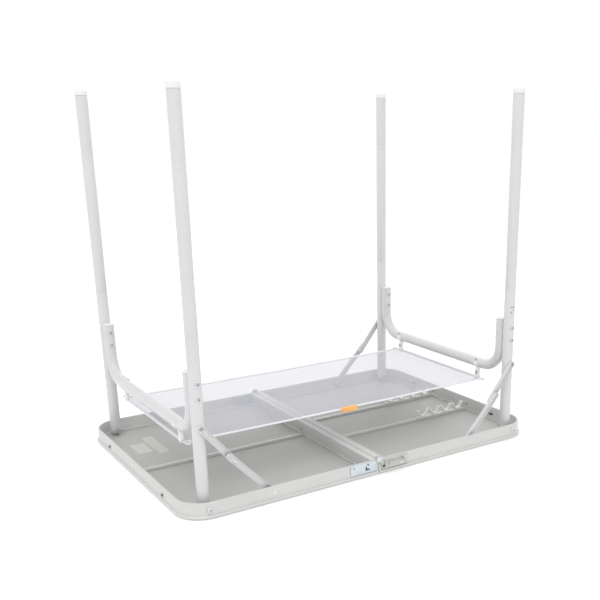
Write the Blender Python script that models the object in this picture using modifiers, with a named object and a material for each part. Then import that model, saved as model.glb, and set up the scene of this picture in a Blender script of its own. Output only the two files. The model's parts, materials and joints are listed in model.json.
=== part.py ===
"""Folding picnic table, standing upside down on its top: two framed halves that fold at a centre seam,
two leg frames with braced U tubes, pull-off leg extensions, folding stays and a net shelf.
Units are metres, +Z is up, and the origin is on the floor at the middle of the seam."""

import math

import bmesh
import bpy
from mathutils import Matrix, Vector

# ---- driving sizes -----------------------------------------------------------------------------
WALL_LENGTH = 0.776          # outside of the end walls, along X
WALL_WIDTH = 0.518           # outside of the long walls, along Y
RIM_HEIGHT = 0.030
CORNER_RADIUS = 0.050
WALL = 0.0035                # frame wall thickness
BEAD_OUT = 0.0035            # how far the edge bead stands out of the wall
BEAD_HEIGHT = 0.0068
PANEL = 0.0040               # tabletop board
FLANGE_IN = 0.010            # frame flange that holds the board down
FLANGE = 0.0013
GAP = 0.0003                 # between pieces that touch
SEAM_GAP = 0.0012            # between the two halves

RAIL_WIDTH = 0.0145          # seam rail
RAIL_FOOT = 0.0040           # its foot along the board
RIB_WIDTH = 0.012
RIB_HEIGHT = 0.0040
RIGHT_RIB_Y = 0.063

TABLE_HEIGHT = 0.700         # to the tips of the feet
LEG_X = 0.346                # leg axis from the seam
LEG_INSET = 0.0025           # room left between the stays and the long walls
LEG_RADIUS = 0.011
TUBE_WALL = 0.0011
PIVOT_LIFT = 0.0015          # the leg's round end clears the board by this much
STUB_TOP = 0.3130            # where the extension pulls off
SPIGOT_LENGTH = 0.050
SPIGOT_CLEARANCE = 0.0004
CAP_HEIGHT = 0.0093
CAP_PLUG = 0.015
CRIMP_Z = (0.5750, 0.5835)

BOLT_RADIUS = 0.0030
BOLT_CLEARANCE = 0.0004
BOLT_HEAD_RADIUS = 0.0052
BOLT_HEAD = 0.0026

U_TOP = 0.2490               # ends of the U tube's arms
U_CROSS_Z = 0.1400
U_BEND = 0.050
U_PLUG = 0.0022
SLEEVE_PLUG = 0.010
ARM_PLUG_CLEARANCE = 0.0009   # the plug is looser in the bent tube

STAY_WIDTH = 0.0120
STAY_DEPTH = 0.0050
STAY_SKIN = 0.0014
STAY_LEG_Z = 0.1580          # upper pivot, on the leg
STAY_WALL_X = 0.2220         # lower pivot, on the long wall
STAY_MID_X = 0.2905
STAY_MID_Z = 0.0892
STAY_OVERLAP = 0.0150        # how far the lower link runs past the middle pivot

CLIP_Y = 0.143               # net clips on the cross tube
CLIP_WIDTH = 0.012
CLIP_THICK = 0.0022
WIRE_X = 0.3430
WIRE_Z = 0.1070
WIRE_RADIUS = 0.0015
WIRE_HALF = 0.158
WIRE_TIP = 0.014
NET_HALF_WIDTH = 0.160
NET_THICK = 0.0020
NET_CLEARANCE = 0.0035

RACK_X = 0.303               # middle of the rack along the rib
RACK_PITCH = 0.033
RACK_CLIPS = 4
RACK_CLIP_PLAY = 0.0002
RACK_CLIP_THICK = 0.0018
RACK_TOP = 0.0260
RACK_WIDTH = 0.010
RACK_BASE = 0.0020
PRONG_SHY = 0.0005           # the prongs are this much narrower than the strip, a side

HINGE_Z = RIM_HEIGHT         # the halves close face to face
PLATE = 0.0015
PLATE_LENGTH = 0.0560
PLATE_START = 0.0070         # from the seam to the plate's square part
PLATE_BOTTOM = 0.0085
PLATE_TOP = 0.0285
EAR_RADIUS = 0.0062
ARM_LIFT = 0.0040            # the ear's arm starts this far above the plate's foot
ARM_SHY = 0.00002            # and is this much thinner a side, so its faces don't lie on the plate's
PIN_RADIUS = 0.0022
PIN_HEAD_RADIUS = 0.0042
PIN_HEAD = 0.0012
PIN_TAIL = 0.0068            # how far the pin reaches inside the wall's outer face
BRACKET_LENGTH = 0.0600
SPRING_RADIUS = 0.0032
SPRING_START = 0.0240
SPRING_LENGTH = 0.0270
LATCH_START = 0.0110
LATCH_LENGTH = 0.0110
LATCH_TRAVEL = 0.0040
LATCH_THICK = 0.0020
LATCH_WIDTH = 0.0080
LATCH_Z = 0.0215

TUBE_SIDES = 16
WIRE_SIDES = 8
CUT_PAST = 0.0010            # how far a cutter runs past a face
WHITE = (0.80, 0.80, 0.80, 1.0)
SILVER = (0.74, 0.75, 0.76, 1.0)
BOARD_GREY = (0.47, 0.47, 0.46, 1.0)
ZINC = (0.62, 0.67, 0.70, 1.0)
WARM_ZINC = (0.66, 0.65, 0.60, 1.0)
PINKISH = (0.83, 0.78, 0.76, 1.0)
NET_WHITE = (0.82, 0.82, 0.86, 0.4)

# ---- sizes that follow -------------------------------------------------------------------------
HALF_LENGTH = WALL_LENGTH / 2
HALF_WIDTH = WALL_WIDTH / 2
HALF_GAP = SEAM_GAP / 2
FLANGE_TOP = PANEL + GAP + FLANGE
BORE_RADIUS = LEG_RADIUS - TUBE_WALL
PIVOT_Z = PANEL + PIVOT_LIFT + LEG_RADIUS
LEG_Y = HALF_WIDTH - WALL - 2 * STAY_DEPTH - LEG_INSET - LEG_RADIUS
RACK_CLIP_INNER = LEG_RADIUS + RACK_CLIP_PLAY
ARM_Y = LEG_Y - 2 * LEG_RADIUS - GAP
STAY_LANE_UPPER = LEG_Y + LEG_RADIUS + GAP
STAY_LANE_LOWER = STAY_LANE_UPPER + STAY_DEPTH + GAP


# ---- building blocks ---------------------------------------------------------------------------
for old in list(bpy.data.objects):
    bpy.data.objects.remove(old, do_unlink=True)

parts = bpy.data.collections.new("folding_table")
cutters = bpy.data.collections.new("cutters")
bpy.context.scene.collection.children.link(parts)
bpy.context.scene.collection.children.link(cutters)


def finish(name, obj, colour, roughness=0.45, metallic=0.0):
    """Names the piece, gives it its own material and files it with the parts."""
    obj.name = name
    obj.data.name = name
    surface = bpy.data.materials.new(name)
    surface.use_nodes = True
    shader = surface.node_tree.nodes["Principled BSDF"]
    shader.inputs["Base Color"].default_value = colour
    shader.inputs["Roughness"].default_value = roughness
    shader.inputs["Metallic"].default_value = metallic
    obj.data.materials.clear()
    obj.data.materials.append(surface)
    for holder in list(obj.users_collection):
        holder.objects.unlink(obj)
    parts.objects.link(obj)
    return obj


def hide_as_cutter(obj):
    for holder in list(obj.users_collection):
        holder.objects.unlink(obj)
    cutters.objects.link(obj)
    obj.hide_render = True
    obj.display_type = 'WIRE'
    return obj


def box(low, high):
    """A box between two corners, in world coordinates."""
    mesh = bpy.data.meshes.new("box")
    shape = bmesh.new()
    bmesh.ops.create_cube(shape, size=1.0)
    low, high = Vector(low), Vector(high)
    size = Matrix.Diagonal(high - low).to_4x4()
    bmesh.ops.transform(shape, matrix=Matrix.Translation((low + high) / 2) @ size, verts=shape.verts)
    shape.to_mesh(mesh)
    shape.free()
    obj = bpy.data.objects.new("box", mesh)
    parts.objects.link(obj)
    return obj


def rod(start, end, radius, sides=TUBE_SIDES):
    """A solid cylinder between two points."""
    start, end = Vector(start), Vector(end)
    along = end - start
    turn = along.to_track_quat('Z', 'Y').to_matrix().to_4x4()
    mesh = bpy.data.meshes.new("rod")
    shape = bmesh.new()
    bmesh.ops.create_cone(shape, cap_ends=True, segments=sides, radius1=radius, radius2=radius,
                          depth=along.length)
    bmesh.ops.transform(shape, matrix=Matrix.Translation((start + end) / 2) @ turn, verts=shape.verts)
    shape.to_mesh(mesh)
    shape.free()
    obj = bpy.data.objects.new("rod", mesh)
    parts.objects.link(obj)
    return obj


def turned(profile, place=(0, 0, 0), axis='Z', closed=False):
    """A turned piece: (radius, height) points that run down the outer side, spun round the axis."""
    mesh = bpy.data.meshes.new("turned")
    points = [(radius, 0, height) for radius, height in profile]
    edges = [(i, i + 1) for i in range(len(points) - 1)]
    if closed:
        edges.append((len(points) - 1, 0))
    mesh.from_pydata(points, edges, [])
    obj = bpy.data.objects.new("turned", mesh)
    parts.objects.link(obj)
    spin = obj.modifiers.new("spin", 'SCREW')
    spin.steps = TUBE_SIDES
    spin.render_steps = TUBE_SIDES
    spin.use_merge_vertices = True
    spin.merge_threshold = 0.00002
    spin.use_normal_calculate = False
    solid = as_mesh(obj)
    quarter = {'Z': Matrix.Identity(4),
               'Y': Matrix.Rotation(-math.pi / 2, 4, 'X'),
               '-Y': Matrix.Rotation(math.pi / 2, 4, 'X'),
               'X': Matrix.Rotation(math.pi / 2, 4, 'Y')}[axis]
    solid.data.transform(Matrix.Translation(place) @ quarter)
    return solid


def as_mesh(obj):
    """The evaluated shape as a plain mesh object, its loose caps welded."""
    view = bpy.context.evaluated_depsgraph_get()
    view.update()
    mesh = bpy.data.meshes.new_from_object(obj.evaluated_get(view))
    shape = bmesh.new()
    shape.from_mesh(mesh)
    bmesh.ops.remove_doubles(shape, verts=shape.verts, dist=0.00001)
    shape.to_mesh(mesh)
    shape.free()
    solid = bpy.data.objects.new(obj.name, mesh)
    solid.matrix_world = obj.matrix_world
    parts.objects.link(solid)
    bpy.data.objects.remove(obj, do_unlink=True)
    return solid


def outline(points, thickness, place):
    """A flat outline in X and Z, as thick as given along Y, starting at place and growing to +Y."""
    curve = bpy.data.curves.new("outline", 'CURVE')
    curve.dimensions = '2D'
    curve.fill_mode = 'BOTH'
    curve.extrude = thickness / 2
    spline = curve.splines.new('POLY')
    spline.points.add(len(points) - 1)
    for point, (x, z) in zip(spline.points, points):
        point.co = (x, z, 0, 1)
    spline.use_cyclic_u = True
    obj = bpy.data.objects.new("outline", curve)
    parts.objects.link(obj)
    solid = as_mesh(obj)
    stand = Matrix.Rotation(math.pi / 2, 4, 'X')
    solid.data.transform(Matrix.Translation(Vector(place) + Vector((0, thickness / 2, 0))) @ stand)
    return solid


def tube_skin(path, radius):
    """The open outer skin of a bent tube along a smooth list of points."""
    curve = bpy.data.curves.new("tube_skin", 'CURVE')
    curve.dimensions = '3D'
    curve.bevel_depth = radius
    curve.bevel_resolution = 4
    spline = curve.splines.new('POLY')
    spline.points.add(len(path) - 1)
    for point, place in zip(spline.points, path):
        point.co = (*place, 1)
    obj = bpy.data.objects.new("tube_skin", curve)
    parts.objects.link(obj)
    return as_mesh(obj)


def boolean(obj, other, operation):
    change = obj.modifiers.new(operation.lower(), 'BOOLEAN')
    change.operation = operation
    change.solver = 'EXACT'
    change.object = other
    hide_as_cutter(other)
    return obj


def arc(centre, radius, start, end, steps):
    """Points on an arc, in degrees, both ends included."""
    angles = [math.radians(start + (end - start) * i / steps) for i in range(steps + 1)]
    return [(centre[0] + radius * math.cos(a), centre[1] + radius * math.sin(a)) for a in angles]


def smooth(obj):
    obj.data.shade_smooth()
    obj.data.set_sharp_from_angle(angle=math.radians(35))
    return obj


# ---- the two halves of the top -----------------------------------------------------------------
def half_path(side, inset, seam):
    """The U-shaped line round one half, from the near end of the seam to the far end."""
    reach = HALF_LENGTH - inset
    depth = HALF_WIDTH - inset
    radius = CORNER_RADIUS - inset
    near = arc((reach - radius, -depth + radius), radius, -90, 0, 6)
    far = arc((reach - radius, depth - radius), radius, 0, 90, 6)
    line = [(seam, -depth)] + near + far + [(seam, depth)]
    return [(side * x, y) for x, y in line]


def frame_profile():
    """The frame's section: how far out of the wall's outer face, and how high."""
    bead_mid = BEAD_HEIGHT / 2
    bead = arc((BEAD_OUT - bead_mid, bead_mid), bead_mid, -90, 90, 4)
    return [(-WALL, 0.0)] + bead + [
        (0.0, BEAD_HEIGHT), (0.0, RIM_HEIGHT - 0.0008), (-0.0008, RIM_HEIGHT),
        (-WALL + 0.0008, RIM_HEIGHT), (-WALL, RIM_HEIGHT - 0.0008), (-WALL, FLANGE_TOP),
        (-FLANGE_IN - WALL, FLANGE_TOP), (-FLANGE_IN - WALL, PANEL + GAP), (-WALL, PANEL + GAP)]


def frame_wall(side):
    """One half's frame: the section swept round the half's outline, open at the seam."""
    section = bpy.data.curves.new("section", 'CURVE')
    section.dimensions = '2D'
    section.fill_mode = 'NONE'
    spline = section.splines.new('POLY')
    profile = frame_profile()
    spline.points.add(len(profile) - 1)
    for point, (out, up) in zip(spline.points, profile):
        point.co = (out, up, 0, 1)
    spline.use_cyclic_u = True
    guide = bpy.data.objects.new("section", section)
    hide_as_cutter(guide)
    path = bpy.data.curves.new("frame", 'CURVE')
    path.dimensions = '3D'
    path.twist_mode = 'Z_UP'
    path.bevel_mode = 'OBJECT'
    path.bevel_object = guide
    path.use_fill_caps = True
    line = half_path(1, 0.0, HALF_GAP)
    run = path.splines.new('POLY')
    run.points.add(len(line) - 1)
    for point, (x, y) in zip(run.points, line):
        point.co = (x, y, 0, 1)
    obj = bpy.data.objects.new("frame", path)
    parts.objects.link(obj)
    solid = as_mesh(obj)
    bpy.data.objects.remove(guide, do_unlink=True)
    if side < 0:
        solid.data.transform(Matrix.Rotation(math.pi, 4, 'Z'))
    outward(solid)
    return solid


def outward(obj):
    shape = bmesh.new()
    shape.from_mesh(obj.data)
    bmesh.ops.recalc_face_normals(shape, faces=shape.faces)
    shape.to_mesh(obj.data)
    shape.free()
    return obj


def board(side):
    """The tabletop board, inside the frame and under its flange."""
    line = half_path(side, WALL + GAP, HALF_GAP)
    curve = bpy.data.curves.new("board", 'CURVE')
    curve.dimensions = '2D'
    curve.fill_mode = 'BOTH'
    curve.extrude = PANEL / 2
    spline = curve.splines.new('POLY')
    spline.points.add(len(line) - 1)
    for point, (x, y) in zip(spline.points, line):
        point.co = (x, y, 0, 1)
    spline.use_cyclic_u = True
    obj = bpy.data.objects.new("board", curve)
    parts.objects.link(obj)
    solid = as_mesh(obj)
    solid.data.transform(Matrix.Translation((0, 0, PANEL / 2)))
    return solid


def seam_rail(side):
    """The deep rail along the seam, with a foot along the board."""
    inner = side * HALF_GAP
    outer = side * (HALF_GAP + RAIL_WIDTH)
    foot = side * (HALF_GAP + RAIL_WIDTH + RAIL_FOOT)
    reach = HALF_WIDTH - WALL - GAP
    foot_reach = reach - FLANGE_IN
    rail = box((min(inner, outer), -reach, FLANGE_TOP + GAP), (max(inner, outer), reach, RIM_HEIGHT))
    base = box((min(inner, foot), -foot_reach, PANEL + GAP),
               (max(inner, foot), foot_reach, FLANGE_TOP + 2 * GAP))
    boolean(rail, base, 'UNION')
    for far in (-1, 1):
        relief = rod((0, far * (HALF_WIDTH - PIN_TAIL - GAP), HINGE_Z), (0, far * HALF_WIDTH, HINGE_Z),
                     PIN_HEAD_RADIUS + BOLT_CLEARANCE)
        boolean(rail, relief, 'DIFFERENCE')
    return rail


def rib(side, y):
    start = side * (HALF_GAP + RAIL_WIDTH + RAIL_FOOT + GAP)
    end = side * (HALF_LENGTH - WALL - FLANGE_IN - GAP)
    low = PANEL + GAP
    piece = box((min(start, end), y - RIB_WIDTH / 2, low),
                (max(start, end), y + RIB_WIDTH / 2, low + RIB_HEIGHT))
    edge = piece.modifiers.new("edge", 'BEVEL')
    edge.width = 0.0010
    edge.segments = 2
    return piece


def drill_walls(frame_object, side):
    """Holes in the long walls for the leg bolts, and quarter rounds for the seam's hinge pins."""
    past = 2 * WALL
    for far in (-1, 1):
        y = far * HALF_WIDTH
        for x, z, radius in ((side * LEG_X, PIVOT_Z, BOLT_RADIUS), (0.0, HINGE_Z, PIN_RADIUS)):
            hole = rod((x, y - past, z), (x, y + past, z), radius + BOLT_CLEARANCE)
            boolean(frame_object, hole, 'DIFFERENCE')


for side, word in ((-1, "left"), (1, "right")):
    wall = frame_wall(side)
    drill_walls(wall, side)
    finish(word + "_frame", wall, SILVER, 0.42, 0.35)
    finish(word + "_board", board(side), BOARD_GREY, 0.55)
    finish(word + "_seam_rail", seam_rail(side), SILVER, 0.42, 0.35)
finish("left_rib", rib(-1, 0.0), SILVER, 0.42, 0.35)
finish("right_rib_near", rib(1, -RIGHT_RIB_Y), SILVER, 0.42, 0.35)
finish("right_rib_far", rib(1, RIGHT_RIB_Y), SILVER, 0.42, 0.35)


# ---- seam hinges and latch ---------------------------------------------------------------------
def leaf(side, length, far, lane, pad):
    """A hinge leaf on the outside of a long wall. lane is how many plate thicknesses it stands off,
    and pad fills the space behind its square part."""
    start = HALF_WIDTH + GAP + lane * (PLATE + GAP)
    y = far * start if far > 0 else -start - PLATE
    near = side * PLATE_START
    end = side * (PLATE_START + length)
    disc = outline(arc((0.0, HINGE_Z), EAR_RADIUS, 0, 360, 16)[:-1], PLATE, (0, y, 0))
    back = min(y, far * (HALF_WIDTH + GAP)) if pad else y
    front = max(y + PLATE, far * (HALF_WIDTH + GAP)) if pad else y + PLATE
    plate = box((min(near, end), back, PLATE_BOTTOM), (max(near, end), front, PLATE_TOP))
    root = near + side * CUT_PAST
    arm = outline([(0.0, HINGE_Z - EAR_RADIUS * 0.95), (root, PLATE_BOTTOM + ARM_LIFT),
                   (root, PLATE_TOP), (0.0, HINGE_Z + EAR_RADIUS * 0.60)],
                  PLATE - 2 * ARM_SHY, (0, y + ARM_SHY, 0))
    outward(disc)
    outward(arm)
    boolean(plate, arm, 'UNION')
    boolean(plate, disc, 'UNION')
    hole = rod((0, y - 2 * PLATE, HINGE_Z), (0, y + 3 * PLATE, HINGE_Z), PIN_RADIUS + BOLT_CLEARANCE)
    return boolean(plate, hole, 'DIFFERENCE')


def hinge_pin(far):
    """A headed pin through both leaves and the corner of the walls."""
    outer = 2 * (PLATE + GAP) + GAP
    inner = PIN_HEAD - PIN_TAIL
    profile = [(0.0, outer + PIN_HEAD), (PIN_HEAD_RADIUS * 0.6, outer + PIN_HEAD),
               (PIN_HEAD_RADIUS, outer + PIN_HEAD * 0.4), (PIN_HEAD_RADIUS, outer),
               (PIN_RADIUS, outer), (PIN_RADIUS, inner), (PIN_HEAD_RADIUS, inner),
               (PIN_HEAD_RADIUS, inner - PIN_HEAD), (0.0, inner - PIN_HEAD)]
    return turned(profile, (0, far * HALF_WIDTH, HINGE_Z), 'Y' if far > 0 else '-Y')


for far, word in ((-1, "near"), (1, "far")):
    finish(word + "_hinge_left_leaf", leaf(-1, PLATE_LENGTH, far, 0, False), ZINC, 0.35, 0.8)
    finish(word + "_hinge_right_leaf", leaf(1, BRACKET_LENGTH, far, 1, True), WARM_ZINC, 0.38, 0.8)
    finish(word + "_hinge_pin", smooth(hinge_pin(far)), ZINC, 0.3, 0.9)

latch_front = -(HALF_WIDTH + 2 * (PLATE + GAP) + GAP)
latch = box((LATCH_START, latch_front - LATCH_THICK, LATCH_Z - LATCH_WIDTH / 2),
            (LATCH_START + LATCH_LENGTH, latch_front, LATCH_Z + LATCH_WIDTH / 2))
latch_edge = latch.modifiers.new("edge", 'BEVEL')
latch_edge.width = 0.0006
latch_edge.segments = 2
finish("latch_slider", latch, WARM_ZINC, 0.38, 0.8)
spring_y = latch_front - SPRING_RADIUS - GAP
spring = rod((SPRING_START + LATCH_TRAVEL, spring_y, LATCH_Z),
             (SPRING_START + LATCH_TRAVEL + SPRING_LENGTH, spring_y, LATCH_Z), SPRING_RADIUS, 16)
finish("latch_spring", smooth(spring), ZINC, 0.3, 0.9)


# ---- racks for the loose leg extensions --------------------------------------------------------
def rack(y):
    """A moulded strip on a rib, with open-topped clips in a row."""
    low = PANEL + GAP + RIB_HEIGHT + GAP
    outer = RACK_CLIP_INNER + RACK_CLIP_THICK
    half = RACK_PITCH * (RACK_CLIPS - 1) / 2 + outer
    base = box((RACK_X - half, y - RACK_WIDTH / 2, low), (RACK_X + half, y + RACK_WIDTH / 2, low + RACK_BASE))
    for i in range(RACK_CLIPS):
        x = RACK_X + RACK_PITCH * (i - (RACK_CLIPS - 1) / 2)
        for hand in (-1, 1):
            face = x + hand * RACK_CLIP_INNER
            prong = box((min(face, face + hand * RACK_CLIP_THICK), y - RACK_WIDTH / 2 + PRONG_SHY,
                         low + RACK_BASE / 2),
                        (max(face, face + hand * RACK_CLIP_THICK), y + RACK_WIDTH / 2 - PRONG_SHY, RACK_TOP))
            boolean(base, prong, 'UNION')
    return base


finish("rack_near", rack(-RIGHT_RIB_Y), PINKISH, 0.5)
finish("rack_far", rack(RIGHT_RIB_Y), PINKISH, 0.5)


# ---- legs --------------------------------------------------------------------------------------
def stub(side, far):
    """The fixed lower leg: a tube with a rounded closed end at the pivot, open at the top."""
    outer = arc((0, PIVOT_Z), LEG_RADIUS, 0, -90, 5)
    inner = arc((0, PIVOT_Z), BORE_RADIUS, -90, 0, 5)
    profile = inner + [(BORE_RADIUS, STUB_TOP), (LEG_RADIUS, STUB_TOP)] + outer
    profile[0] = (0.0, profile[0][1])
    profile[-1] = (0.0, profile[-1][1])
    tube = turned(profile, (side * LEG_X, far * LEG_Y, 0))
    reach = 2 * LEG_RADIUS
    hole = rod((side * LEG_X, far * LEG_Y - reach, PIVOT_Z), (side * LEG_X, far * LEG_Y + reach, PIVOT_Z),
               BOLT_RADIUS + BOLT_CLEARANCE)
    return boolean(smooth(tube), hole, 'DIFFERENCE')


def extension(side, far):
    """The pull-off upper leg, with a spigot that fits the stub and a crimped ring near the foot."""
    spigot = BORE_RADIUS - SPIGOT_CLEARANCE
    spigot_bore = spigot - TUBE_WALL
    low = STUB_TOP + GAP
    top = TABLE_HEIGHT - CAP_HEIGHT - GAP
    profile = [(BORE_RADIUS, top), (LEG_RADIUS, top)]
    for z in reversed(CRIMP_Z):
        profile += [(LEG_RADIUS, z + 0.0012), (LEG_RADIUS - 0.0003, z), (LEG_RADIUS, z - 0.0012)]
    profile += [(LEG_RADIUS, low), (spigot, low), (spigot, low - SPIGOT_LENGTH),
                (spigot_bore, low - SPIGOT_LENGTH), (spigot_bore, low + 0.002), (BORE_RADIUS, low + 0.004)]
    return smooth(turned(profile, (side * LEG_X, far * LEG_Y, 0), closed=True))


def foot_cap(side, far):
    """A moulded cap: a short flange over the tube's end and a plug inside it."""
    low = TABLE_HEIGHT - CAP_HEIGHT
    plug = BORE_RADIUS - SPIGOT_CLEARANCE
    profile = [(0.0, TABLE_HEIGHT), (LEG_RADIUS - 0.0022, TABLE_HEIGHT),
               (LEG_RADIUS - 0.0004, TABLE_HEIGHT - 0.0015),
               (LEG_RADIUS + 0.0003, low), (plug, low), (plug, low - CAP_PLUG), (0.0, low - CAP_PLUG)]
    return smooth(turned(profile, (side * LEG_X, far * LEG_Y, 0)))


def leg_bolt(side, far):
    """A domed bolt through the long wall and the leg, with its nut on the inner side."""
    head = GAP
    leg_inner = -(HALF_WIDTH - LEG_Y + LEG_RADIUS + GAP)
    profile = [(0.0, head + BOLT_HEAD), (BOLT_HEAD_RADIUS * 0.55, head + BOLT_HEAD * 0.92),
               (BOLT_HEAD_RADIUS, head + BOLT_HEAD * 0.35), (BOLT_HEAD_RADIUS, head), (BOLT_RADIUS, head),
               (BOLT_RADIUS, leg_inner), (BOLT_HEAD_RADIUS, leg_inner),
               (BOLT_HEAD_RADIUS, leg_inner - BOLT_HEAD), (0.0, leg_inner - BOLT_HEAD)]
    return smooth(turned(profile, (side * LEG_X, far * HALF_WIDTH, PIVOT_Z), 'Y' if far > 0 else '-Y'))


def u_tube(side):
    """The bent tube that braces a pair of legs: two arms on the legs and a cross tube."""
    turn = [(y, z) for y, z in arc((ARM_Y - U_BEND, U_CROSS_Z + U_BEND), U_BEND, 0, -90, 7)]
    right = [(ARM_Y, U_TOP)] + turn
    path = right + [(-y, z) for y, z in reversed(right)]
    skin = tube_skin([(side * LEG_X, y, z) for y, z in path], LEG_RADIUS)
    shell = skin.modifiers.new("wall", 'SOLIDIFY')
    shell.thickness = TUBE_WALL
    shell.offset = -1.0
    solid = as_mesh(skin)
    return smooth(outward(solid))


def arm_plug(side, far):
    """A moulded plug in the open end of a U tube's arm."""
    low = U_TOP + GAP
    plug = BORE_RADIUS - ARM_PLUG_CLEARANCE
    profile = [(0.0, low + U_PLUG), (LEG_RADIUS - 0.0014, low + U_PLUG), (LEG_RADIUS, low + U_PLUG * 0.35),
               (LEG_RADIUS, low), (plug, low), (plug, low - SLEEVE_PLUG), (0.0, low - SLEEVE_PLUG)]
    return smooth(turned(profile, (side * LEG_X, far * ARM_Y, 0)))


def net_clip(side, far):
    """A moulded hook round the underside of the cross tube, with an eye for the net's wire."""
    inner = LEG_RADIUS + GAP
    outer = inner + CLIP_THICK
    centre = (side * LEG_X, U_CROSS_Z)
    start, end = (190, 330) if side < 0 else (350, 210)
    strap = arc(centre, outer, start, end, 8) + arc(centre, inner, end, start, 8)
    y = far * CLIP_Y - CLIP_WIDTH / 2
    hook = outward(outline(strap, CLIP_WIDTH, (0, y, 0)))
    eye_radius = WIRE_RADIUS + GAP + CLIP_THICK
    eye = arc((side * WIRE_X, WIRE_Z), eye_radius, 0, 360, 12)[:-1]
    neck_points = [(side * (WIRE_X + 0.0030), WIRE_Z + 0.0020), (side * (WIRE_X - 0.0020), WIRE_Z + 0.0025),
                   (side * (LEG_X - inner * 0.70), U_CROSS_Z - inner * 0.72),
                   (side * (LEG_X - inner * 0.20), U_CROSS_Z - inner * 1.06)]
    neck = outward(outline(neck_points, CLIP_WIDTH - 0.0006, (0, y + 0.0003, 0)))
    boolean(hook, neck, 'UNION')
    boolean(hook, outward(outline(eye, CLIP_WIDTH - 0.0010, (0, y + 0.0005, 0))), 'UNION')
    hole = rod((side * WIRE_X, y - 0.004, WIRE_Z), (side * WIRE_X, y + CLIP_WIDTH + 0.004, WIRE_Z),
               WIRE_RADIUS + GAP, 12)
    tube_clear = rod((side * LEG_X, y - 0.004, U_CROSS_Z), (side * LEG_X, y + CLIP_WIDTH + 0.004, U_CROSS_Z),
                     inner)
    boolean(hook, hole, 'DIFFERENCE')
    return boolean(hook, tube_clear, 'DIFFERENCE')


def net_wire(side):
    """The spreader wire at one end of the net."""
    tip = WIRE_HALF + WIRE_TIP
    return smooth(rod((side * WIRE_X, -tip, WIRE_Z), (side * WIRE_X, tip, WIRE_Z), WIRE_RADIUS, WIRE_SIDES))


for side, word in ((-1, "left"), (1, "right")):
    for far, place in ((-1, "near"), (1, "far")):
        name = f"{place}_{word}"
        finish(name + "_leg_stub", stub(side, far), WHITE, 0.4)
        finish(name + "_leg_extension", extension(side, far), WHITE, 0.4)
        finish(name + "_foot_cap", foot_cap(side, far), WHITE, 0.5)
        finish(name + "_leg_bolt", leg_bolt(side, far), ZINC, 0.3, 0.9)
        finish(name + "_arm_plug", arm_plug(side, far), WHITE, 0.5)
        finish(name + "_net_clip", net_clip(side, far), PINKISH, 0.5)
    finish(word + "_u_tube", u_tube(side), WHITE, 0.4)
    finish(word + "_net_wire", net_wire(side), WHITE, 0.4)


# ---- folding stays -----------------------------------------------------------------------------
def channel_link(start, end, past, y, lips_to):
    """A pressed channel between two pivots, rounded at both ends and hollow on one face.
    past is how far its end runs beyond the second pivot."""
    start, end = Vector(start), Vector(end)
    along = end - start
    length = along.length + past
    turn = Matrix.Rotation(math.atan2(along.y, along.x), 2)

    def stadium(half_width):
        line = arc((0, 0), half_width, 90, 270, 6) + arc((length, 0), half_width, -90, 90, 6)
        return [tuple(start + turn @ Vector(point)) for point in line]

    body = outward(outline(stadium(STAY_WIDTH / 2), STAY_DEPTH, (0, y, 0)))
    pocket_y = y + STAY_SKIN if lips_to > 0 else y - CUT_PAST
    pocket = outward(outline(stadium(STAY_WIDTH / 2 - STAY_SKIN), STAY_DEPTH - STAY_SKIN + CUT_PAST,
                             (0, pocket_y, 0)))
    return boolean(body, pocket, 'DIFFERENCE')


for side, word in ((-1, "left"), (1, "right")):
    for far, place in ((-1, "near"), (1, "far")):
        name = f"{place}_{word}_stay_"
        upper_y = far * STAY_LANE_UPPER if far > 0 else -STAY_LANE_UPPER - STAY_DEPTH
        lower_y = far * STAY_LANE_LOWER if far > 0 else -STAY_LANE_LOWER - STAY_DEPTH
        leg_pivot = (side * LEG_X, STAY_LEG_Z)
        mid_pivot = (side * STAY_MID_X, STAY_MID_Z)
        wall_pivot = (side * STAY_WALL_X, PIVOT_Z)
        finish(name + "upper", channel_link(leg_pivot, mid_pivot, 0.0, upper_y, -far), WHITE, 0.4)
        finish(name + "lower", channel_link(wall_pivot, mid_pivot, STAY_OVERLAP, lower_y, -far), WHITE, 0.4)

# ---- net shelf ---------------------------------------------------------------------------------
net_reach = WIRE_X - WIRE_RADIUS - NET_CLEARANCE
finish("net_shelf", box((-net_reach, -NET_HALF_WIDTH, WIRE_Z - NET_THICK / 2),
                        (net_reach, NET_HALF_WIDTH, WIRE_Z + NET_THICK / 2)), NET_WHITE, 0.7)
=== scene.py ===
import json
import math

import bmesh
import bpy
from mathutils import Matrix, Vector

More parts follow.
